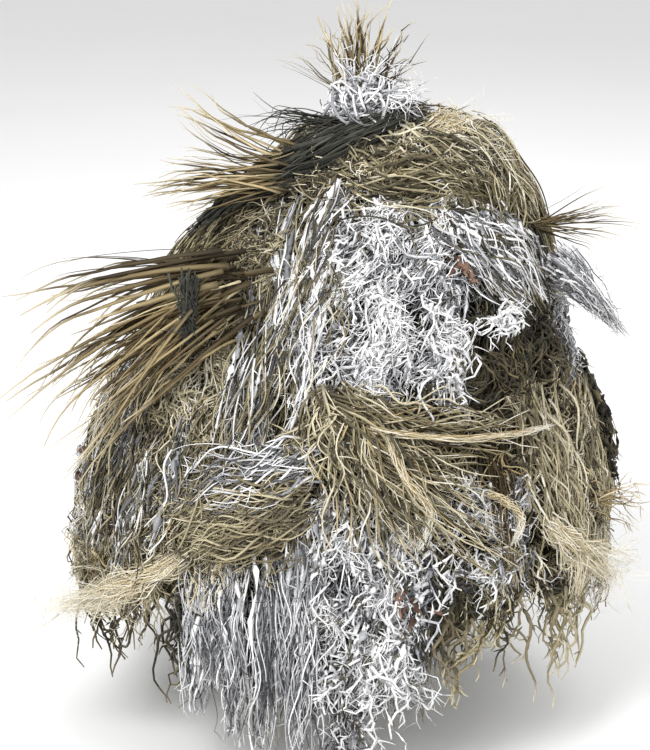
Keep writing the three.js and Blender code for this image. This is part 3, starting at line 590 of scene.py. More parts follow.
def strips(seed, slot, theta, z, n, length, width, tone, angle=(-8, 8), depth=(-10, 8), points=26, wiggle=0.12,
           ragged=0.45, twists=1.5, zone=None):
    """Torn cloth strips: flat, twisting, with edges that wander in and out."""
    rng = np.random.default_rng(seed)
    th, tz = uniform(rng, theta, n), sizes(rng, z, n)
    d, cut, lay = sizes(rng, depth, n), sizes(rng, length, n), uniform(rng, angle, n)
    paths, facing = flow(rng, th, OUTER.down(tz), d, cut, lay, points, wiggle, turns=2.2)
    t = np.linspace(0, 1, points)[None, :]
    phase = rng.uniform(0, 2 * np.pi, (3, n, 1))
    turn = twists * np.sin(2 * np.pi * rng.uniform(0.3, 1.0, (n, 1)) * t + phase[0])
    edge = 1 + ragged * (np.sin(22 * t + phase[1]) * 0.5 + rng.normal(0, 0.45, (n, points)))
    half = sizes(rng, width, n)[:, None] * np.clip(edge, 0.25, 2.0) / 2
    column = columns(rng, n, tone)
    put(slot, th, tz, paths, facing, half, column, zone=zone, taper=0.3, flat=0.14, sides=4, twist=turn)


def rope(seed, slot, way, n, radius, tone, spread, span, wave=6, ripple=5, points=14, open_out=0.0, zone=None,
         flat=1.0, fork=None, turns=2.0, ragged=0.0):
    """Strands side by side along one line of (theta, height, depth) way points over the surface."""
    rng = np.random.default_rng(seed)
    way = np.array(way, float) / (1, 1000, 1000)
    share = uniform(rng, span, n)
    start = rng.random(n) * (1 - share) * (1 - open_out)
    steps = np.linspace(0, 1, points)[None, :]
    t = start[:, None] + share[:, None] * steps
    if zone is None:  # strands of the hood end before the neck
        line = bend_through(way, t)
        starts_on_hood = (line[:, :1, 1] > NECK_Z) & (np.abs(line[:, :1, 0]) < HOOD_FRONT)
        below = (line[..., 1] < NECK_Z - 0.03) & starts_on_hood
        kept = np.where(below.any(1), np.argmax(below, 1), points) / points
        t = start[:, None] + (share * np.maximum(kept, 0.2))[:, None] * steps
    line = bend_through(way, t)
    theta, u, d = line[..., 0], OUTER.down(line[..., 1]), line[..., 2]
    r = np.maximum(OUTER.read(u, "r")[0], 0.08)
    along_x, along_u = np.gradient(np.radians(theta), axis=1) * r, np.gradient(u, axis=1)
    size = np.hypot(along_x, along_u) + 1e-9
    phase = rng.uniform(0, 2 * np.pi, (2, n, 1))
    off = rng.normal(0, spread / 1000, (n, 1)) * (1 - open_out + 1.6 * open_out * t)
    off = off + wave / 1000 * np.sin(2 * np.pi * turns * rng.uniform(0.5, 1.5, (n, 1)) * t + phase[0])
    theta = theta - np.degrees(off * along_u / size / r)
    u = np.maximum(u + off * along_x / size, 0.003)
    d = d + rng.normal(0, 0.006, (n, 1)) + ripple / 1000 * np.sin(2 * np.pi * turns * t + phase[1])
    thick = sizes(rng, radius, n)
    shape = {"taper": 0.4, "flat": flat}
    if ragged:
        thick = thick[:, None] * np.clip(1 + ragged * rng.normal(0, 1, (n, points)), 0.3, 2.0)
        shape.update(sides=4, twist=rng.uniform(0, 3, (n, 1)) + 2.5 * np.sin(5 * t + phase[0]))
    tie_z = np.interp(u[:, 0], OUTER.u, OUTER.z)
    paths, facing = OUTER.place(theta, u, d), OUTER.normal(theta, u)
    put(slot, theta[:, 0], tie_z, paths, facing, thick, columns(rng, n, tone), zone=zone, fork=fork, rng=rng,
        **shape)


def blades(seed, slot, base, tips, n, radius, tone, zone, arch=30, curl=20, root=8, tip=12, flat=0.35, wave=2,
           reach=(0.75, 1.0), fork=None, locks=0, points=16):
    """Stems in free space from one foot to tips spread along a line of points."""
    rng = np.random.default_rng(seed)
    arch, curl, root, tip, wave = metres((arch, curl, root, tip, wave))
    foot = metres(base) + rng.normal(0, root, (n, 3))
    share = uniform(rng, reach, n)[:, None]
    end = foot + (bend_through(metres(tips), rng.random(n)) + rng.normal(0, tip, (n, 3)) - foot) * share
    t = np.linspace(0, 1, points)[None, :, None]
    rise = np.array([0, 0, 1.0]) * rng.uniform(0.3, 1.3, (n, 1)) * arch
    hook = rng.normal(0, 1, (n, 3)) * curl + np.array([0, 0, -0.6 * curl])
    swing = rng.normal(0, wave, (2, n, 1, 3))
    if locks:  # strands of one lock wave and curl together
        lock = rng.integers(0, locks, n)
        swing = 0.35 * swing + rng.normal(0, 1.6 * wave, (2, locks, 1, 3))[:, lock]
        end = 0.3 * end + 0.7 * rng.permutation(end)[:locks][lock]
        hook = 0.4 * hook + rng.normal(0, 1.4 * curl, (locks, 3))[lock]
    straight = foot[:, None] * (1 - t) + end[:, None] * t + 4 * t * (1 - t) * rise[:, None]
    curled = np.clip((t - 0.72) / 0.28, 0, 1) ** 2 * hook[:, None]
    paths = straight + curled + t * (swing[0] * np.sin(9 * t) + swing[1] * np.sin(23 * t))
    facing = unit(np.cross(unit(end - foot), rng.normal(0, 1, (n, 3))))
    facing = np.repeat(facing[:, None], points, 1)
    spot, thick, column = np.zeros(n), sizes(rng, radius, n), columns(rng, n, tone)
    put(slot, spot, spot, paths, facing, thick, column, zone=zone, fork=fork, rng=rng, flat=flat, taper=0.12,
        sides=4)


def loops(seed, slot, centre, size, n, ring, radius, tone, zone, points=14):
    """Loose loops of fibre heaped round a point."""
    rng = np.random.default_rng(seed)
    middle = metres(centre) + rng.normal(0, 0.5, (n, 3)) * metres(size)
    a = unit(rng.normal(0, 1, (n, 3)))
    b = unit(np.cross(a, rng.normal(0, 1, (n, 3))))
    first = rng.uniform(0, 6.28, (n, 1))
    t = first + uniform(rng, (2.4, 5.6), n)[:, None] * np.linspace(0, 1, points)[None, :]
    big, small = sizes(rng, ring, n)[:, None, None], sizes(rng, ring, n)[:, None, None] * 0.7
    across, along = big * np.cos(t)[..., None], small * np.sin(t)[..., None]
    paths = middle[:, None] + across * a[:, None] + along * b[:, None]
    facing = np.repeat(np.cross(a, b)[:, None], points, 1)
    spot, thick = np.zeros(n), sizes(rng, radius, n)
    put(slot, spot, spot, paths, facing, thick, columns(rng, n, tone), zone=zone, taper=0.6)


def leaves(seed, theta, z, n, width, length=(30, 50), zone=None, points=9):
    """Dead leaves: wide thin blades, pointed at both ends, curling off the surface."""
    rng = np.random.default_rng(seed)
    th, tz = uniform(rng, theta, n), sizes(rng, z, n)
    d, cut, lay = sizes(rng, (0, 14), n), sizes(rng, length, n), uniform(rng, (-90, 90), n)
    paths, facing = flow(rng, th, OUTER.down(tz), d, cut, lay, points, 0.4, ripple=0.004, lift=0.008)
    half, column = sizes(rng, width, n) / 2, columns(rng, n, (0.1, 1.0))
    turn = np.repeat(rng.normal(0, 0.5, (n, 1)), points, 1)
    shape = {"taper": 0.15, "swell": 0.8, "flat": 0.09, "sides": 4, "twist": turn}
    put(LEAF, th, tz, paths, facing, half, column, zone=zone, **shape)


# ---- lights and floor -----------------------------------------------------------------------
# Place, size and power of each soft light.
LIGHTS = (((-1.6, -2.6, 2.8), 1.7, 145), ((2.6, -1.6, 1.8), 2.4, 42), ((0.5, 2.8, 2.4), 2.4, 40))
LIT_POINT = Vector((0, 0, -0.1))
WORLD_STRENGTH = 0.72
FLOOR_DROP = 0.02
FLOOR_SIZE = 30


def add_floor():
    bpy.ops.mesh.primitive_plane_add(size=FLOOR_SIZE, location=(0, 0, CAD_LOW[2] - FLOOR_DROP))
    floor = bpy.context.object
    floor.name = "floor"
    t = Tree("floor", 0.9)
    floor.data.materials.append(t.colour(t.mix(t.noise(t.object_place(), 2.0), "f4f4f4", "f8f8f8")))


def add_lights():
    world = bpy.data.worlds.new("world")
    bpy.context.scene.world = world
    world.use_nodes = True
    background = world.node_tree.nodes["Background"]
    background.inputs[0].default_value = (1, 1, 1, 1)
    background.inputs[1].default_value = WORLD_STRENGTH
    for place, size, power in LIGHTS:
        data = bpy.data.lights.new("soft light", "AREA")
        data.size = size
        data.energy = power
        lamp = add_object("soft light", data)
        lamp.location = place
        lamp.rotation_euler = (LIT_POINT - Vector(place)).to_track_quat("-Z", "Y").to_euler()


add_floor()
add_lights()
bpy.context.scene.view_settings.view_transform = "Standard"

# ---- garnish --------------------------------------------------------------------------------
TIES_PER_AREA = 900  # a square metre
ROW_STEP = 50
STRANDS_PER_TIE = 17
ALL_ROUND = (-180, 180)
BACK = (92, 268)
THIN, MIDDLING, THICK = (0.6, 1.4), (1.0, 2.4), (1.6, 3.8)
COMMON = (0.9, 2.4)
SOFT = (0.8, 2.6)
WORN = (0.9, 2.8)
# Degrees from and to, ties from and to, share of tan, strand length, and tone.
COVER = [
    (-180, 180, 270, 180, 0.75, 130, (0.2, 0.8)),
    (-180, -38, 180, 30, 0.75, 150, (0.2, 0.85)),
    (40, 180, 180, 30, 0.35, 150, (0.1, 0.7)),
    (-75, -5, 30, -155, 0.85, 160, (0.3, 0.95)),
    (-5, 65, 30, -155, 0.2, 170, (0.1, 0.7)),
    (65, 115, 30, -155, 0.4, 180, (0.1, 0.7)),
    (-115, -75, 30, -155, 0.7, 160, (0.2, 0.85)),
    (115, 245, 30, -155, 0.6, 190, (0.1, 0.7)),
    (-65, -30, -155, -365, 0.8, 110, (0.25, 0.95)),
    (-30, 20, -155, -450, 0.5, 170, (0.05, 0.7)),
    (20, 65, -155, -350, 0.35, 115, (0.15, 0.9)),
    (65, 90, -155, -385, 0.45, 120, (0.15, 0.9)),
    (90, 115, -155, -455, 0.5, 160, (0.15, 0.85)),
    (-90, -65, -155, -385, 0.75, 120, (0.25, 0.95)),
    (-115, -90, -155, -455, 0.7, 160, (0.2, 0.9)),
    (115, 245, -155, -310, 0.65, 200, (0.05, 0.7)),
    (115, 245, -310, -480, 0.3, 190, (0.05, 0.7)),
]


def cover():
    """Rows of hanks over the whole cape, before what is special to each place."""
    seed = 1000
    for low, high, top, bottom, tan, length, tone in COVER:
        rows = max(1, round((top - bottom) / ROW_STEP))
        for i in range(rows):
            z = (top - (i + 1) * (top - bottom) / rows, top - i * (top - bottom) / rows)
            radius = OUTER.read(OUTER.down(metres(np.mean(z))), "r")[0]
            ties = TIES_PER_AREA * math.radians(high - low) * radius * ROUNDNESS * (top - bottom) / 1000 / rows
            for slot, share in ((TAN, tan), (OLIVE, 1 - tan)):
                seed += 1
                cut = (length * 0.75, length * 1.15)
                hanks(seed, slot, (low, high), z, max(2, round(ties * share)), STRANDS_PER_TIE, cut, COMMON,
                      tone, (-45, -14))
    for side, sign in (("right", -1), ("left", 1)):  # tops of the fronts, under the chest row
        hanks(990 + sign, OLIVE, sorted((sign * 3, sign * 62)), (-150, -100), 60, 14, (70, 100), COMMON,
              (0.1, 0.9), (-50, -30), zone=f"front_{side}_upper")


def add_crown():
    for seed, slot, top, n, depth in ((101, TAN, 272, 850, (-15, 12)), (102, OLIVE, 270, 950, (-20, 8))):
        tangle(seed, slot, ALL_ROUND, (175, top), n, (50, 130), (1, 2.6), (0.1, 1), depth, (1, 8, 24),
               zone="hood")
    for i, way in enumerate((
        [(-20, 235, 4), (10, 225, 10), (38, 200, 8), (52, 130, 4)],
        [(-45, 215, 2), (-10, 200, 8), (25, 195, 10), (45, 150, 6)],
        [(-120, 240, 4), (-80, 220, 6), (-45, 200, 6), (-15, 190, 6)],
        [(60, 250, 4), (75, 200, 8), (60, 150, 10), (50, 60, 6)],
    )):
        lay = {"spread": 30, "span": (0.35, 0.8), "ripple": 8, "zone": "hood"}
        rope(110 + i, TAN, way, 56, SOFT, (0.2, 1), wave=11, fork=(1, 8, 25), **lay)
        rope(116 + i, OLIVE, way, 70, SOFT, (0.2, 1), wave=13, **lay)
    hanks(123, CREAM, (-20, 80), (200, 262), 16, 10, (30, 70), (0.8, 2), (0.1, 1), (6, 18), spread=10,
          angle=(-60, 90), wiggle=0.6, zone="hood", swirl=60)


def add_crown_strip():
    """The dark strip across the crown, its blades, and pale combed ends at the crown's right."""
    strip = [(-90, 50, 40), (-82, 110, 45), (-72, 165, 36), (-60, 205, 24), (-38, 245, 16), (-5, 265, 18),
             (70, 264, 18)]
    rope(120, DARK, strip, 90, (2, 6), (0, 1), 12, (0.2, 0.6), wave=8, ripple=8, points=26, zone="hood",
         flat=0.3, ragged=0.5)
    rope(121, DARK, strip, 160, (0.8, 1.6), (0.2, 1), 14, (0.2, 0.6), ripple=9, zone="hood")
    tips = [(-200, -40, 285), (-170, -50, 270), (-150, -60, 250)]
    blades(122, DARK, (-30, -50, 262), tips, 26, (1.2, 2.6), (0, 0.9), "hood", arch=12)
    for i, tip in enumerate(((150, -20, 290), (200, -20, 262), (190, -60, 225), (130, -90, 238))):
        tips = [tip, (tip[0] + 12, tip[1], tip[2] - 30)]
        blades(125 + i, CREAM, (90 + 12 * i, -60, 262 - 6 * i), tips, 60, THIN, (0.2, 1), "hood", arch=8,
               tip=14, flat=1, wave=4)


def add_outline_rope():
    """The long rope of strands down the right outline."""
    way = [(72, 258, 6), (72, 225, 12), (78, 170, 12), (84, 90, 12), (86, -10, 10), (86, -130, 6)]
    rope(134, TAN, way, 360, COMMON, (0.15, 0.95), 17, (0.25, 0.7), wave=9, ripple=8, points=18,
         fork=(1, 8, 24))
    rope(131, OLIVE, way, 240, COMMON, (0.2, 1), 20, (0.25, 0.7), wave=9, points=18)


def add_matted_jute():
    """Curling matted jute between the reeds and the pale strips, and over the wearer's left front."""
    lay = {"points": 12, "wiggle": 0.6}
    for i, (slot, theta, z, n, tone) in enumerate((
        (TAN, (-78, -34), (-20, 150), 420, (0.35, 1)),
        (TAN, (-66, -24), (-170, -20), 480, (0.4, 1)),
        (TAN, (-56, -34), (-300, -170), 300, (0.3, 1)),
        (TAN, (-70, -36), (-420, -300), 260, (0.3, 1)),
        (OLIVE, (-78, -30), (-200, 150), 200, (0.3, 1)),
        (OLIVE, (26, 80), (-180, 20), 520, (0.1, 0.8)),
        (OLIVE, (22, 80), (-420, -180), 480, (0.1, 1)),
        (TAN, (24, 80), (-420, -100), 260, (0.3, 1)),
    )):
        tangle(400 + i, slot, theta, z, n, (50, 140), SOFT, tone, (-12, 10), (2, 8, 26), angle=(-50, 50),
               swirl=65, **lay)
    tangle(413, TAN, (-60, -33), (-200, 90), 420, (60, 150), WORN, (0.3, 1), (2, 18), (2, 8, 26),
           angle=(-40, 30), swirl=60, **lay)
    way = [(-58, -30, 10), (-66, -90, 14), (-72, -160, 12), (-76, -220, 8)]
    rope(412, WHITE, way, 150, SOFT, (0.2, 1), 14, (0.25, 0.6), wave=9, fork=(2, 8, 22))
    shoulder = [(-58, 215, 10), (-80, 160, 26), (-86, 80, 28), (-80, 0, 18), (-70, -70, 8)]
    for seed, slot, n, tone in ((410, TAN, 330, (0.2, 0.9)), (411, OLIVE, 300, (0.2, 1))):
        rope(seed, slot, shoulder, n, SOFT, tone, 30, (0.25, 0.6), wave=12, ripple=10, fork=(1, 8, 26))


def add_veil():
    """Pale shredded burlap over the veil, with torn strips in it."""
    veil = {"zone": "veil"}
    for seed, slot, theta, z, ties, strands, cut, tone, depth in (
        # The first hanks are the under layer of white burlap, in dark grey tones (0, 0.35): painted shade
        # under the fibres on top.
        (140, WHITE, (-27, 28), (-70, 180), 54, 15, (70, 140), (0, 0.35), (-18, -6)),
        (139, OLIVE, (-27, 32), (-80, 175), 26, 14, (50, 110), (0.2, 0.9), (-12, 2)),
    ):
        hanks(seed, slot, theta, z, ties, strands, cut, MIDDLING, tone, depth, wiggle=0.6, swirl=50, **veil)
    for i, (theta, z, n) in enumerate((((-24, 27), (0, 180), 480), ((-10, 26), (-90, 0), 300))):
        tangle(141 + i, WHITE, theta, z, n, (50, 130), MIDDLING, (0.15, 0.9), (-8, 8), (3, 8, 26),
               angle=(-65, 65), holes=-0.35, **veil)
        tangle(143 + i, WHITE, theta, z, n // 3, (70, 170), THICK, (0.5, 1), (0, 18), (4, 8, 30),
               angle=(-40, 40), holes=0.0, **veil)
        tangle(145 + i, WHITE, theta, z, n, (40, 100), THIN, (0.3, 1), (2, 16), holes=-0.6, **veil)
    for seed, theta, z, n, longest in ((147, (-20, 27), (20, 175), 80, 120), (148, (-10, 26), (-70, 20), 50,
                                                                              110)):
        strips(seed, WHITE, theta, z, n, (50, longest), (4, 11), (0.35, 1), angle=(-55, 55), depth=(0, 18),
               points=20, wiggle=0.4, ragged=0.65, twists=2.5, **veil)


def add_long_strips():
    """Long twisted strips, straight down from the brow to below the chest. The last rides the veil."""
    for i, (n, loose, tone, zone, way) in enumerate((
        (26, 60, (0.1, 0.7), None,
         [(-56, 170, 10), (-41, 85, 14), (-29, 37, 16), (-22, -67, 16), (-22, -140, 16), (-23, -210, 12)]),
        (26, 60, (0.4, 1), None,
         [(-29, 200, 12), (-33, 130, 16), (-26, 35, 18), (-26, -60, 18), (-26, -150, 16), (-26, -210, 12)]),
        (10, 24, (0.1, 0.7), None, [(-66, 140, 10), (-48, 80, 14), (-34, -8, 16), (-30, -100, 16),
                                    (-28, -190, 12)]),
        (26, 60, (0.4, 1), "veil", [(-25, 100, 10), (-18, 40, 16), (-14, -37, 16), (-12, -150, 12)]),
    )):
        rope(150 + i, WHITE, way, n, (2, 6.5), tone, 7, (0.4, 0.9), wave=8, ripple=7, points=34, flat=0.22,
             ragged=0.5, zone=zone)
        rope(280 + i, TAN, way, 40, MIDDLING, (0.2, 1), 22, (0.2, 0.5), wave=12, ripple=10)
        rope(270 + i, OLIVE, way, 45, MIDDLING, (0.2, 1), 20, (0.2, 0.5), wave=12, ripple=10, fork=(1, 8, 22))
        rope(155 + i, WHITE, way, loose, MIDDLING, (0, 1), 9, (0.2, 0.5), wave=10, fork=(2, 8, 22), zone=zone)


def add_left_shoulder():
    """Grey strands that run down the shoulder, a pale clump on dark jute, and pale hanks behind."""
    for i, way in enumerate((
        [(20, 178, 6), (28, 130, 12), (42, 75, 14), (62, -10, 8)],
        [(30, 170, 6), (40, 125, 12), (56, 70, 14), (72, -20, 8)],
        [(42, 160, 4), (56, 110, 10), (70, 40, 12), (80, -50, 6)],
    )):
        n = 100 - 20 * i
        rope(160 + i, WHITE, way, n, MIDDLING, (0, 0.8), 16, (0.25, 0.6), wave=9, ripple=8, fork=(2, 8, 22))
        rope(163 + i, WHITE, way, 26, THICK, (0.5, 1), 14, (0.25, 0.5), wave=9, fork=(3, 8, 22))
        rope(166 + i, OLIVE, way, 90, MIDDLING, (0.2, 1), 22, (0.25, 0.6), wave=9)
    tangle(169, WHITE, (39, 46), (-16, 12), 34, (30, 60), (1.2, 3.2), (0.7, 1), (10, 22), (3, 6, 16),
           angle=(-110, 110), zone="chest_left")
    hanks(130, WHITE, (76, 96), (-120, 30), 22, 12, (60, 120), MIDDLING, (0.1, 0.9), (0, 10), fork=(1, 10, 24))


def add_band():
    """The tan band across the wearer's right front, with the white one over it, and what lies round them."""
    zone = "front_right_upper"
    for i, (z, slot, n, tone) in enumerate((
        (-155, WHITE, 110, (0.1, 1)), (-200, TAN, 90, (0.1, 0.9)), (-245, TAN, 80, (0.05, 0.75))
    )):
        way = [(-4, z, 14), (-15, z - 30, 18), (-28, z - 60, 16), (-40, z - 100, 10)]
        rope(190 + i, slot, way, n, SOFT, tone, 18, (0.3, 0.75), wave=12, ripple=9, fork=(1, 8, 22), zone=zone)
    tangle(187, TAN, (-36, -6), (-290, -170), 280, (70, 150), WORN, (0.1, 0.85), (4, 20), (2, 8, 26),
           angle=(-85, -35), swirl=40, zone=zone)
    tangle(188, OLIVE, (-40, -6), (-300, -170), 120, (70, 150), (0.9, 2.6), (0.2, 1), (4, 18), (1, 8, 26),
           angle=(-85, -20), swirl=50, zone=zone)
    for seed, theta, ties, angle in ((189, (-75, -20), 22, (-40, 30)), (186, (20, 80), 16, (-30, 40))):
        combed_bits(seed, theta, (-380, -100), ties, angle)
    for seed, theta, z, n, tone in (
        (164, (-66, -50), (-310, -190), 150, (0.1, 0.95)), (165, (-80, -66), (-360, -200), 110, (0.1, 0.9))
    ):
        tangle(seed, WHITE, theta, z, n, (60, 120), (1.4, 3), tone, (-4, 10), (2, 8, 20))


def combed_bits(seed, theta, z, ties, angle):
    hanks(seed, CREAM, theta, z, ties, 9, (80, 150), (0.8, 1.8), (0, 0.9), (2, 14), spread=12, angle=angle,
          wiggle=0.5, swirl=50)


def add_grey_fringe():
    """Grey strips hanging in ragged bunches below the band."""
    for i, (theta, z, bottom) in enumerate((
        (-31, -310, -600), (-26, -300, -550), (-22, -290, -640), (-16, -270, -660), (-11, -260, -600),
        (-8, -250, -665)
    )):
        way = [(theta, z, 0), (theta + 1, (z + bottom) / 2, 8), (theta - 0.5, bottom, 0)]
        rope(240 + i, WHITE, way, 10, (2, 4.5), (0.1, 0.8), 7, (0.4, 0.95), points=30, flat=0.25, ragged=0.5,
             zone="front_right_lower")
        rope(250 + i, WHITE, way, 85, (0.8, 2.2), (0, 0.85), 11, (0.25, 0.6), wave=8, fork=(2, 6, 20),
             zone="front_right_lower")


def add_middle_panel():
    """The pale panel down the middle, narrowing to a point, with torn strips in it."""
    for i, (theta, z, n) in enumerate((
        ((-5, 21), (-300, -190), 300), ((-6, 19), (-420, -300), 300), ((-4, 15), (-500, -420), 150),
        ((-3, 8), (-580, -500), 60)
    )):
        # These hanks are the under layer, in dark grey tones (0, 0.4) of the white palette: painted shade
        # under the fibres on top.
        hanks(170 + i, WHITE, theta, z, n // 13, 13, (80, 140), MIDDLING, (0, 0.4), (-14, -2), fork=(1, 6, 18),
              swirl=40)
        tangle(174 + i, WHITE, theta, z, n, (50, 130), (0.7, 2.2), (0.1, 1), (-4, 10), (3, 8, 22),
               angle=(-45, 45), holes=-0.5, swirl=35)
        tangle(178 + i, WHITE, theta, z, n // 4, (80, 170), (1.4, 3.6), (0.5, 1), (2, 14), (4, 8, 26),
               angle=(-25, 25), holes=-0.1, swirl=30)
        tangle(260 + i, OLIVE, theta, z, n // 8, (50, 100), (0.7, 2), (0.4, 1), (2, 12), (2, 8, 22),
               angle=(-60, 60))
    for i, (theta, z, n) in enumerate((((-5, 20), (-420, -200), 60), ((-4, 14), (-540, -420), 30))):
        strips(340 + i, WHITE, theta, z, n, (60, 140), (4, 11), (0.3, 1), angle=(-35, 35), depth=(0, 16),
               points=20, wiggle=0.35, ragged=0.65, twists=2.5)


def add_right_streaks():
    """Grey streaks down the tangle below the reeds."""
    for i, (theta, z, bottom) in enumerate((
        (-68, -60, -340), (-59, -100, -400), (-50, -160, -400), (-42, -120, -340)
    )):
        way = [(theta, z, 12), (theta + 3, (z + bottom) / 2, 18), (theta - 1, bottom, 12)]
        rope(342 + i, WHITE, way, 48, SOFT, (0, 0.85), 13, (0.25, 0.6), wave=9, fork=(2, 8, 22))
        rope(346 + i, WHITE, way, 9, (2, 5), (0.1, 0.9), 8, (0.3, 0.7), wave=8, points=26, flat=0.25,
             ragged=0.55)
        rope(366 + i, TAN, way, 50, (0.8, 2.8), (0.2, 1), 26, (0.25, 0.6), wave=14, fork=(2, 8, 26))
        rope(356 + i, OLIVE, way, 60, (0.8, 2.8), (0.2, 0.9), 22, (0.25, 0.6), wave=12, fork=(1, 8, 24))
    tangle(182, WHITE, (21, 44), (-360, -200), 260, (50, 120), (1, 3), (0.1, 1), (-2, 10), (3, 8, 20),
           angle=(-60, 60), holes=-0.3)


def add_spray():
    """Long strands that fan out from the middle of the chest over the left front."""
    zone = "front_left_upper"
    for i, way in enumerate((
        [(-5, -75, 8), (8, -115, 22), (26, -140, 26), (47, -170, 20)],
        [(-5, -80, 8), (8, -140, 24), (20, -200, 28), (34, -260, 22)],
        [(-5, -80, 8), (6, -150, 24), (18, -250, 28), (38, -370, 20)],
        [(-6, -80, 8), (2, -150, 22), (10, -250, 26), (17, -330, 18)],
        [(-6, -75, 8), (-4, -140, 22), (0, -220, 24), (2, -310, 16)],
        [(-7, -70, 8), (-9, -130, 20), (-10, -170, 18), (-12, -210, 14)],
    )):
        for seed, slot, n, radius, tone, spread, span, lay in (
            (200, TAN, 26, (1, 3), (0.2, 1), 18, (0.4, 1), {"wave": 13, "ripple": 9, "fork": (2, 10, 30)}),
            (210, OLIVE, 14, (1.2, 3), (0.3, 1), 16, (0.5, 1), {"wave": 12, "ripple": 8}),
            (220, REED, 5, (1.4, 3), (0, 0.8), 12, (0.8, 1), {"wave": 3, "flat": 0.4}),
            (230, CREAM, 6, (1.2, 3), (0, 0.8), 16, (0.5, 1), {"wave": 14}),
        ):
            rope(seed + i, slot, way, n, radius, tone, spread, span, zone=zone, open_out=0.8, **lay)
    for i, way in enumerate((
        [(4, -130, 36), (22, -150, 40), (40, -160, 34), (50, -165, 26)],
        [(8, -140, 36), (12, -200, 36), (17, -250, 30), (15, -300, 24)],
        [(30, -235, 30), (34, -250, 26), (38, -280, 24), (36, -320, 20)],
    )):
        rope(236 + i, CREAM, way, 46, (0.7, 1.4), (0, 0.9), 2.2, (0.6, 1), wave=2, zone=zone, turns=4)


def add_left_columns():
    """Tan strands at the wearer's left, dark reeds beside them, and dark tatters down the right outline."""
    zone = "front_left_upper"
    way = [(49, -100, 10), (51, -180, 16), (54, -260, 16), (57, -330, 14), (60, -410, 8)]
    rope(266, TAN, way, 170, (0.9, 2.6), (0.2, 1), 22, (0.25, 0.7), wave=12, ripple=9, fork=(2, 8, 26),
         zone=zone)
    way = [(78, -120, 6), (74, -220, 10), (72, -320, 10), (70, -420, 4)]
    rope(221, TAN, way, 150, (0.9, 2.6), (0.1, 0.9), 26, (0.25, 0.7), wave=12, ripple=9, fork=(2, 8, 26))
    way = [(34, -130, 8), (36, -220, 12), (36, -300, 12), (38, -400, 8)]
    rope(222, REED, way, 60, (0.8, 1.6), (0, 0.35), 10, (0.4, 0.9), wave=2, zone=zone)
    for i, way in enumerate((
        [(80, -90, 8), (86, -180, 18), (89, -270, 20), (87, -360, 12)],
        [(86, -140, 10), (91, -220, 22), (93, -300, 24), (90, -380, 12)],
    )):
        rope(223 + i, OLIVE, way, 34, (2, 6), (0, 0.6), 14, (0.2, 0.45), wave=10, ripple=10, points=22,
             flat=0.25, ragged=0.6, fork=(4, 8, 22), zone="side_left")


def add_twig():
    way = [(-34, -120, 14), (-37, -170, 20), (-38, -220, 20), (-46, -290, 14)]
    rope(224, REED, way, 3, (1.2, 2), (0, 0.1), 4, (0.9, 1), fork=(3, 20, 40), zone="front_right_upper")


def add_tendrils():
    """Loose single strands that hang below the hem."""
    for i, (slot, theta, n) in enumerate((
        (OLIVE, (-52, -34), 8), (TAN, (36, 64), 9), (OLIVE, (-72, -54), 4), (TAN, (20, 36), 5)
    )):
        hanks(230 + i, slot, theta, (-430, -390), n, 3, (140, 220), (2.2, 4), (0.2, 0.8), (-10, 6), spread=5,
              wiggle=0.7, fork=(2, 8, 20))


def add_leaves():
    leaves(240, (24, 32), (70, 100), 5, (14, 22), zone="veil")
    leaves(241, (12, 20), (-400, -350), 7, (14, 22))
    leaves(242, (-52, -40), (-220, -160), 5, (12, 20), length=(30, 40))
    leaves(243, (60, 300), (-400, 0), 26, (12, 22))


def add_back():
    """Matted jute, pale streaks and loose ropes on the back and sides, like those in front."""
    rng = np.random.default_rng(77)
    lay = {"points": 12, "wiggle": 0.6}
    for seed, slot, tone in ((300, TAN, (0.3, 1)), (301, OLIVE, (0.2, 1))):
        tangle(seed, slot, (82, 278), (-440, 150), 900, (60, 150), SOFT, tone, (-12, 10), (2, 8, 26),
               angle=(-45, 45), **lay)
    tangle(305, WHITE, BACK, (-460, 130), 1100, (60, 150), (0.8, 2.8), (0, 1), (-6, 10), (2, 8, 22),
           angle=(-35, 35), holes=0.45)
    hanks(306, WHITE, BACK, (-400, 100), 150, 13, (100, 180), (0.8, 2.4), (0, 0.8), (-10, 6), fork=(1, 8, 20),
          holes=0.4)
    for i in range(14):
        theta, z = 100 + 160 * (i + 0.5) / 14, rng.uniform(-320, 100)
        way = [(theta, z, 4), (theta + rng.normal(0, 6), z - 60, 12), (theta + rng.normal(0, 9), z - 160, 6)]
        rope(330 + i, (TAN, OLIVE)[i % 2], way, 60, (0.9, 2.6), (0.3, 1), 18, (0.4, 0.9), wave=10,
             fork=(1, 8, 24))
    strips(350, WHITE, (110, 250), (-360, 50), 34, (140, 240), (4, 10), (0, 0.9), ragged=0.6)
    combed_bits(351, (95, 265), (-380, 100), 34, (-30, 30))


def add_hood_reeds():
    lay = {"root": 12}
    tips = [(-300, -50, 215), (-345, -80, 190), (-330, -90, 165), (-280, -100, 130)]
    blades(420, REED, (-130, -80, 190), tips, 40, (1.6, 3.6), (0, 1), "hood", arch=4, curl=6, wave=1.2, **lay)
    tips = [(-290, 0, 330), (-290, -30, 285), (-310, -50, 250)]
    blades(421, REED, (-100, -60, 222), tips, 20, (1.6, 3.4), (0, 1), "hood", arch=-20, curl=10, wave=1.5,
           **lay)


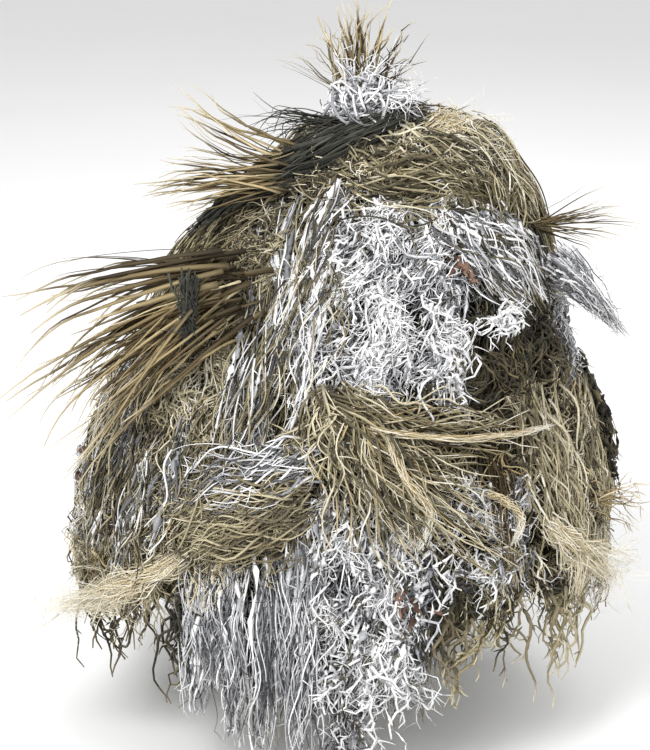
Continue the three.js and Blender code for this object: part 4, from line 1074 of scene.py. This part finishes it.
def add_shoulder_reeds():
    """The big fan of reeds at the right shoulder, the jute over its roots, and a dark rag over it."""
    high = [(-560, -150, 65), (-530, -170, 25), (-500, -190, 0)]
    low = [(-540, -200, -70), (-550, -200, -130), (-470, -240, -190), (-420, -250, -200)]
    for seed, slot, foot, tips, n, radius, tone, arch, root in (
        (422, REED, (-200, -200, 85), high, 26, (2.2, 5.8), (0, 0.6), 12, 18),
        (423, REED, (-205, -210, 60), low, 54, (2.4, 6.2), (0.1, 0.9), 16, 24),
        (424, REED, (-230, -215, 20), low[1:], 26, (1.6, 4.4), (0, 0.7), 12, 20),
        (425, CREAM, (-220, -200, 50), low, 12, (1.6, 4), (0, 0.5), 16, 22),
    ):
        blades(seed, slot, foot, tips, n, radius, tone, "shoulders", arch=arch, curl=14, root=root, tip=20,
               flat=0.22, wave=1, reach=(0.6, 1))
    for seed, slot, theta, z, n in ((430, TAN, (-54, -40), (35, 110), 200), (431, OLIVE, (-56, -40), (30, 110),
                                                                             110)):
        tangle(seed, slot, theta, z, n, (40, 100), (0.9, 2.6), (0.2, 1), (8, 30), (1, 8, 22), angle=(-110, 20),
               zone="shoulders")
    tips = [(-272, -245, -10), (-262, -245, -20)]
    blades(426, DARK, (-262, -235, 85), tips, 60, (1.2, 3), (0.2, 1), "shoulders", arch=0, curl=6, tip=6,
           flat=0.6, wave=3, fork=(2, 6, 20), locks=5)


def add_left_sprigs():
    """The sprig on its stems and the grey hank at the left shoulder, and the sprig low on the left side."""
    blades(403, REED, (228, -70, 20), [(250, -60, 110), (250, -60, 120)], 24, (1, 2), (0, 0.4), "shoulders",
           arch=0, curl=2, root=6, tip=4, reach=(0.95, 1))
    tips = [(360, -20, 150), (400, -40, 145), (400, -50, 115), (340, -60, 75)]
    blades(404, REED, (247, -60, 115), tips, 34, (0.9, 2), (0, 0.5), "shoulders", arch=0, curl=5, root=6,
           wave=0.6)
    for seed, tip in ((427, (412, -45, -75)), (428, (395, -50, -72)), (429, (360, -50, -40))):
        blades(seed, WHITE, (295, -80, 55), [tip, (tip[0] + 2, tip[1], tip[2] - 4)], 80, (0.8, 2.2),
               (0.1, 0.8), "shoulders",
               arch=12, curl=0, root=16, tip=2, flat=1, wave=2.5, reach=(0.4, 1), fork=(2, 6, 14))
    tips = [(440, -140, -270), (440, -150, -310), (420, -160, -360)]
    blades(405, REED, (345, -150, -300), tips, 18, (1, 2), (0, 1), "side_left", arch=4, curl=8,
           fork=(2, 10, 30))


def add_combed_hanks():
    """The two pale combed hanks low on both sides."""
    for seed, side, base, tips, n, arch, curl, locks, reach in (
        (406, "right", (-270, -290, -330), [(-490, -210, -430), (-530, -190, -460), (-500, -210, -480)], 150,
         -20, 16, 26, (0.66, 1.05)),
        (407, "left", (275, -250, -300), [(410, -150, -400), (420, -150, -430), (400, -170, -450)], 120, -14,
         14, 20, (0.62, 1)),
    ):
        blades(seed, CREAM, base, tips, n, (0.5, 1.3), (0.3, 1), f"front_{side}_upper", arch=arch, curl=curl,
               tip=26, flat=1, wave=9, reach=reach, fork=(1, 10, 30), locks=locks)


def add_tuft():
    """The tuft on the crown: grass held by a looped pale knot."""
    foot = (-12, -20, 290)
    tips = [(-70, 0, 420), (-30, 0, 460), (20, 0, 455), (50, 0, 420)]
    blades(410, REED, foot, tips, 46, (2, 4.2), (0, 1), "hood", arch=0, curl=10, root=12, tip=14)
    blades(411, REED, foot, [(-150, 0, 360), (-100, 0, 400)], 12, (1, 2), (0, 1), "hood", arch=4, curl=8)
    blades(412, REED, foot, [(50, 0, 440), (80, 0, 350)], 12, (1.2, 2.2), (0, 0.3), "hood", arch=4, curl=10,
           fork=(4, 12, 35))
    loops(413, WHITE, (-12, -35, 297), (36, 26, 30), 260, (14, 34), (1.4, 3.4), (0.2, 1), "hood")
    blades(414, WHITE, (20, -40, 300), [(90, -50, 310), (60, -60, 280)], 60, (1.2, 2.6), (0.3, 1), "hood",
           arch=12, flat=1, fork=(2, 8, 20))
    blades(415, WHITE, (-10, -30, 300), [(-50, -30, 380), (20, -30, 370)], 26, (1.6, 3), (0.3, 1), "hood",
           arch=0, flat=1, fork=(2, 8, 20))


for add in (
    cover, add_crown, add_crown_strip, add_outline_rope, add_matted_jute, add_veil, add_long_strips,
    add_left_shoulder,
    add_band, add_grey_fringe, add_middle_panel, add_right_streaks, add_spray, add_left_columns, add_twig,
    add_tendrils,
    add_leaves, add_back, add_hood_reeds, add_shoulder_reeds, add_left_sprigs, add_combed_hanks, add_tuft,
):
    add()

# ---- cloth, net and straps ------------------------------------------------------------------
CLOTH = 0.0026
CLOTH_GRID = 90
CORD_RADIUS = 0.0009
CORD_STEPS = 12  # along one cell of the net
KNOT_RADIUS = 0.0022
KNOT_HALF_LENGTH = 0.0026
NET_DEPTH = 0.006
NET_CELL = 0.04
FRONT_EDGE = 1.2  # degrees from the middle to each front's edge
HEM_Z = -0.518
YOKE_Z = -0.0835


def weave_material(name, dark, pale, threads, roughness=0.95):
    """Plain weave: two sets of threads crossing, with worn patches."""
    t = Tree(name, roughness)
    place = t.object_place()
    inputs = {"Scale": float(threads), "Distortion": 0.6, "Vector": place}
    bands = [t.node("ShaderNodeTexWave", inputs, bands_direction=way).outputs["Fac"] for way in ("DIAGONAL",
                                                                                                 "Z")]
    weave = t.math("MULTIPLY", *bands)
    t.bump(weave, 0.35, 0.0006)
    patch = t.mix(t.noise(place, 22.0, 5.0), dark, pale)
    return t.colour(t.brightness(patch, t.math("MULTIPLY_ADD", weave, 0.25, 0.82)))


def plain_material(name, colour, roughness, metallic=0.0, grain=60.0):
    t = Tree(name, roughness, 0.4)
    t.shader.inputs["Metallic"].default_value = metallic
    speck = t.noise(t.object_place(), grain, 4.0)
    t.bump(speck, 0.15, 0.0004)
    plain = t.node("ShaderNodeRGB").outputs[0]
    plain.default_value = linear(colour)
    return t.colour(t.brightness(plain, t.math("MULTIPLY_ADD", speck, 0.3, 0.85)))


CANVAS = weave_material("canvas", "3e3d2a", "6a6849", 260)
WEBBING = weave_material("webbing", "34331f", "55533a", 420, 0.8)
ELASTIC = weave_material("elastic", "1d1d1a", "34342e", 520, 0.75)


def grid_piece(name, outer, inner, material):
    """A closed sheet from two grids of points, one for each face."""
    rows, cols, _ = outer.shape
    verts = np.concatenate([outer.reshape(-1, 3), inner.reshape(-1, 3)])
    i = np.arange(rows * cols).reshape(rows, cols)
    a, b, c, d = (x.ravel() for x in (i[:-1, :-1], i[:-1, 1:], i[1:, 1:], i[1:, :-1]))
    far = rows * cols
    rim = np.concatenate([i[0, :], i[1:, -1], i[-1, -2::-1], i[-2:0:-1, 0]])
    after = np.roll(rim, -1)
    faces = [
        np.stack([a, b, c, d], 1),
        np.stack([d, c, b, a], 1) + far,
        np.stack([rim, rim + far, after + far, after], 1),
    ]
    mesh = bpy.data.meshes.new(name)
    mesh.from_pydata(verts.tolist(), [], np.concatenate(faces).tolist())
    mesh.update()
    mesh.polygons.foreach_set("use_smooth", np.ones(len(mesh.polygons), bool))
    mesh.materials.append(material)
    return add_object(name, mesh)


def hem_cut(theta):
    """The hem is cut higher from the middle of the fronts to the sides."""
    theta = np.abs(theta)
    return -0.08 * np.clip((theta - 12) / 26, 0, 1) ** 1.5 * (1 - np.clip((theta - 75) / 39, 0, 1))


def straight(theta):
    return 0 * theta


def cloth(node, surface, theta, z, body, fold=0.003, hem=straight):
    """One cut panel of canvas with soft folds, sewn in the place of its CAD node."""
    rng = np.random.default_rng(len(node) * 7 + int(abs(theta[0])))
    share = np.linspace(0, 1, CLOTH_GRID)[None, :]
    fall = np.linspace(0, 1, CLOTH_GRID)[:, None]
    around = theta[0] + (theta[1] - theta[0]) * share + 0 * fall
    top, bottom = surface.down(z[0]), surface.down(z[1])
    u = top + (bottom + hem(around[0])[None, :] - top) * fall
    phase = rng.uniform(0, 6.28, 3)
    wave = np.sin(around * 0.16 + phase[0]) + 0.6 * np.sin(around * 0.37 + 3 * fall + phase[1])
    wave = wave + 0.3 * np.sin(19 * fall + phase[2])
    soft = np.sin(np.pi * share) ** 0.5 * np.minimum(1, 6 * fall)
    d = CLOTH - fold * (1 + wave / 1.9) * soft * (0.3 + 0.7 * fall)
    hem_roll = 0.0012 * (fall > 0.965)
    outer = surface.place(around, u, d + hem_roll)
    inner = surface.place(around, u, d - CLOTH - hem_roll)
    obj = grid_piece(node + "_cloth", outer, inner, CANVAS)
    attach(obj, body)
    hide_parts(node)


def net(node, surface, theta, z, body, depth=NET_DEPTH, bottom_theta=None):
    """Knotted diamond mesh over the cloth: two families of cords that turn back at the edges."""
    rng = np.random.default_rng(len(node) * 13 + int(abs(theta[0])))
    lower = bottom_theta or theta
    top, bottom = surface.down(z[0]), surface.down(z[1])
    mean_r = surface.read((top + bottom) / 2, "r")[0]
    cells = max(2, round(math.radians(theta[1] - theta[0]) * mean_r * ROUNDNESS / NET_CELL))
    drop = max(2, round((bottom - top) / NET_CELL))

    def spot(share, down):
        f = (down - top) / (bottom - top)
        low = theta[0] + (lower[0] - theta[0]) * f
        high = theta[1] + (lower[1] - theta[1]) * f
        return low + (high - low) * share

    fall = np.linspace(0, drop, drop * CORD_STEPS + 1)[None, :]
    start = np.concatenate([np.arange(cells), np.arange(cells) + 1.0])[:, None]
    sign = np.repeat([1.0, -1.0], cells)[:, None]
    share = (cells - np.abs(np.mod(start + sign * fall, 2 * cells) - cells)) / cells
    down = top + (bottom - top) * fall / drop + 0 * share
    around = spot(share, down)
    d = depth + rng.normal(0, 0.0004, around.shape)
    collector = Collector()
    n = len(around)
    paths, out = surface.place(around, down, d), surface.normal(around, down)
    collector.add(paths, out, np.full(n, CORD_RADIUS), rng.integers(0, COLUMNS, n), sides=5, taper=1.0)
    row, column = np.meshgrid(np.arange(1, 2 * drop), np.arange(0, 2 * cells + 1), indexing="ij")
    crossing = (row + column) % 2 == 1
    knot_u = top + (bottom - top) * row[crossing] / (2 * drop)
    knot_theta = spot(column[crossing] / (2 * cells), knot_u)
    centre, out = surface.place(knot_theta, knot_u, depth), surface.normal(knot_theta, knot_u)
    t = np.linspace(-1, 1, 5)[None, :, None] * KNOT_HALF_LENGTH
    lay = unit(np.cross(out, rng.normal(0, 1, out.shape)))
    n = len(centre)
    paths, out = centre[:, None] + t * lay[:, None], np.repeat(out[:, None], 5, 1)
    collector.add(paths, out, np.full(n, KNOT_RADIUS), rng.integers(0, COLUMNS, n), sides=5, taper=1.0,
                  swell=0.75)
    for edge_share in (0.0, 1.0):
        line = np.linspace(top, bottom, 60)[None, :]
        at = spot(np.full_like(line, edge_share), line)
        paths, out = surface.place(at, line, depth + 0 * at), surface.normal(at, line)
        collector.add(paths, out, np.array([0.0012]), np.array([9]), sides=6, taper=1.0)
    obj = collector.build(node + "_cords", MATERIALS[NET])
    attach(obj, body)
    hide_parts(node)


def add_cloth():
    yoke, skirt = (0.007, YOKE_Z), (YOKE_Z - 0.002, HEM_Z)
    netted = (YOKE_Z - 0.012, HEM_Z + 0.09)
    for side, sign in (("right", -1), ("left", 1)):
        front, yoke_front = f"front_{side}", f"yoke_front_{side}"

        def span(low, high):
            return (low, high) if sign > 0 else (-high, -low)

        cloth(yoke_front, CAPE, span(FRONT_EDGE, 90), yoke, "cape", fold=0.001)
        cloth(f"front_panel_{side}", CAPE, span(FRONT_EDGE, 64.5), skirt, front, hem=hem_cut)
        cloth(f"side_panel_{side}", CAPE, span(65.2, 114.6), skirt, "cape", hem=hem_cut)
        cloth(f"back_panel_{side}", CAPE, span(115.2, 179.6), skirt, "cape")
        cloth(f"hood_wall_{side}", HOOD, span(42, 179.6), (0.171, 0.0135), "hood", fold=0.001)
        net(f"front_net_{side}", CAPE, span(3, 62), netted, front)
        net(f"side_net_{side}", CAPE, span(67, 112), netted, "cape")
    cloth("yoke_back", CAPE, (90.3, 269.7), yoke, "cape", fold=0.001)
    cloth("hood_crown", HOOD, (-180, 179.9), (0.2515, 0.2145), "hood", fold=0.0005)
    cloth("hood_brow", HOOD, (-180, 179.9), (0.2135, 0.1725), "hood", fold=0.0005)
    net("back_net", CAPE, (117, 243), (YOKE_Z - 0.012, HEM_Z + 0.012), "cape")
    net("veil_net", OUTER, (-33, 27), (0.17, -0.11), "veil", depth=-0.02, bottom_theta=(-10, 31))


def worn(node, body, material, grain=0.0007):
    """A strap or tape made again from its CAD shape with rounded, slightly uneven edges."""
    obj = add_object(node + "_tape", NODES[node].data.copy())
    remesh = obj.modifiers.new("remesh", "REMESH")
    remesh.mode, remesh.voxel_size = "VOXEL", grain
    smooth = obj.modifiers.new("smooth", "SMOOTH")
    smooth.factor, smooth.iterations = 0.5, 2
    done = bpy.data.meshes.new_from_object(obj.evaluated_get(bpy.context.evaluated_depsgraph_get()))
    obj.modifiers.clear()
    obj.data = done
    done.materials.clear()
    done.materials.append(material)
    done.polygons.foreach_set("use_smooth", np.ones(len(done.polygons), bool))
    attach(obj, body)
    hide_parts(node)


def add_straps():
    for node, body in (("throat_tab", "throat_tab"), ("hanger_loop", "cape"), ("chest_strap_left", "cape"),
                       ("chest_strap_right", "strap_prong")):
        worn(node, body, WEBBING)
    for node in ("shoulder_loop_right", "arm_loop_left", "arm_loop_right"):
        worn(node, "cape", ELASTIC)
    for node, body in (("collar_band", "cape"), ("placket_flap", "front_left")):
        worn(node, body, CANVAS, grain=0.001)


def add_hardware():
    """The hard parts keep their CAD shape and get their finish."""
    plastic = plain_material("buckle plastic", "2b2b22", 0.45)
    metal = plain_material("snap metal", "2a2a28", 0.4, metallic=0.9, grain=300.0)
    touch = plain_material("touch fastener", "1f2019", 0.95, grain=900.0)
    for node, material in {
        "buckle_socket": plastic, "buckle_prong": plastic, "strap_adjuster": plastic, "snap_cap": metal,
        "snap_stud": metal, "placket_loop_strip": touch, "placket_hook_strip": touch,
    }.items():
        NODES[node].data.materials.clear()
        NODES[node].data.materials.append(material)


def finish_pieces():
    """One piece for each zone and slot, on the body that carries it; pieces of zones that no one body carries
    stay in world place.
    """
    for (zone, slot), collector in sorted(bins.items()):
        name = f"{zone}_{slot}"
        obj = collector.build(name, MATERIALS[slot])
        if zone in RIDES:
            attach(obj, RIDES[zone])
        else:
            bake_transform(obj)
        if name in STANDS_FOR:
            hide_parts(*STANDS_FOR[name])


add_cloth()
add_straps()
add_hardware()
finish_pieces()
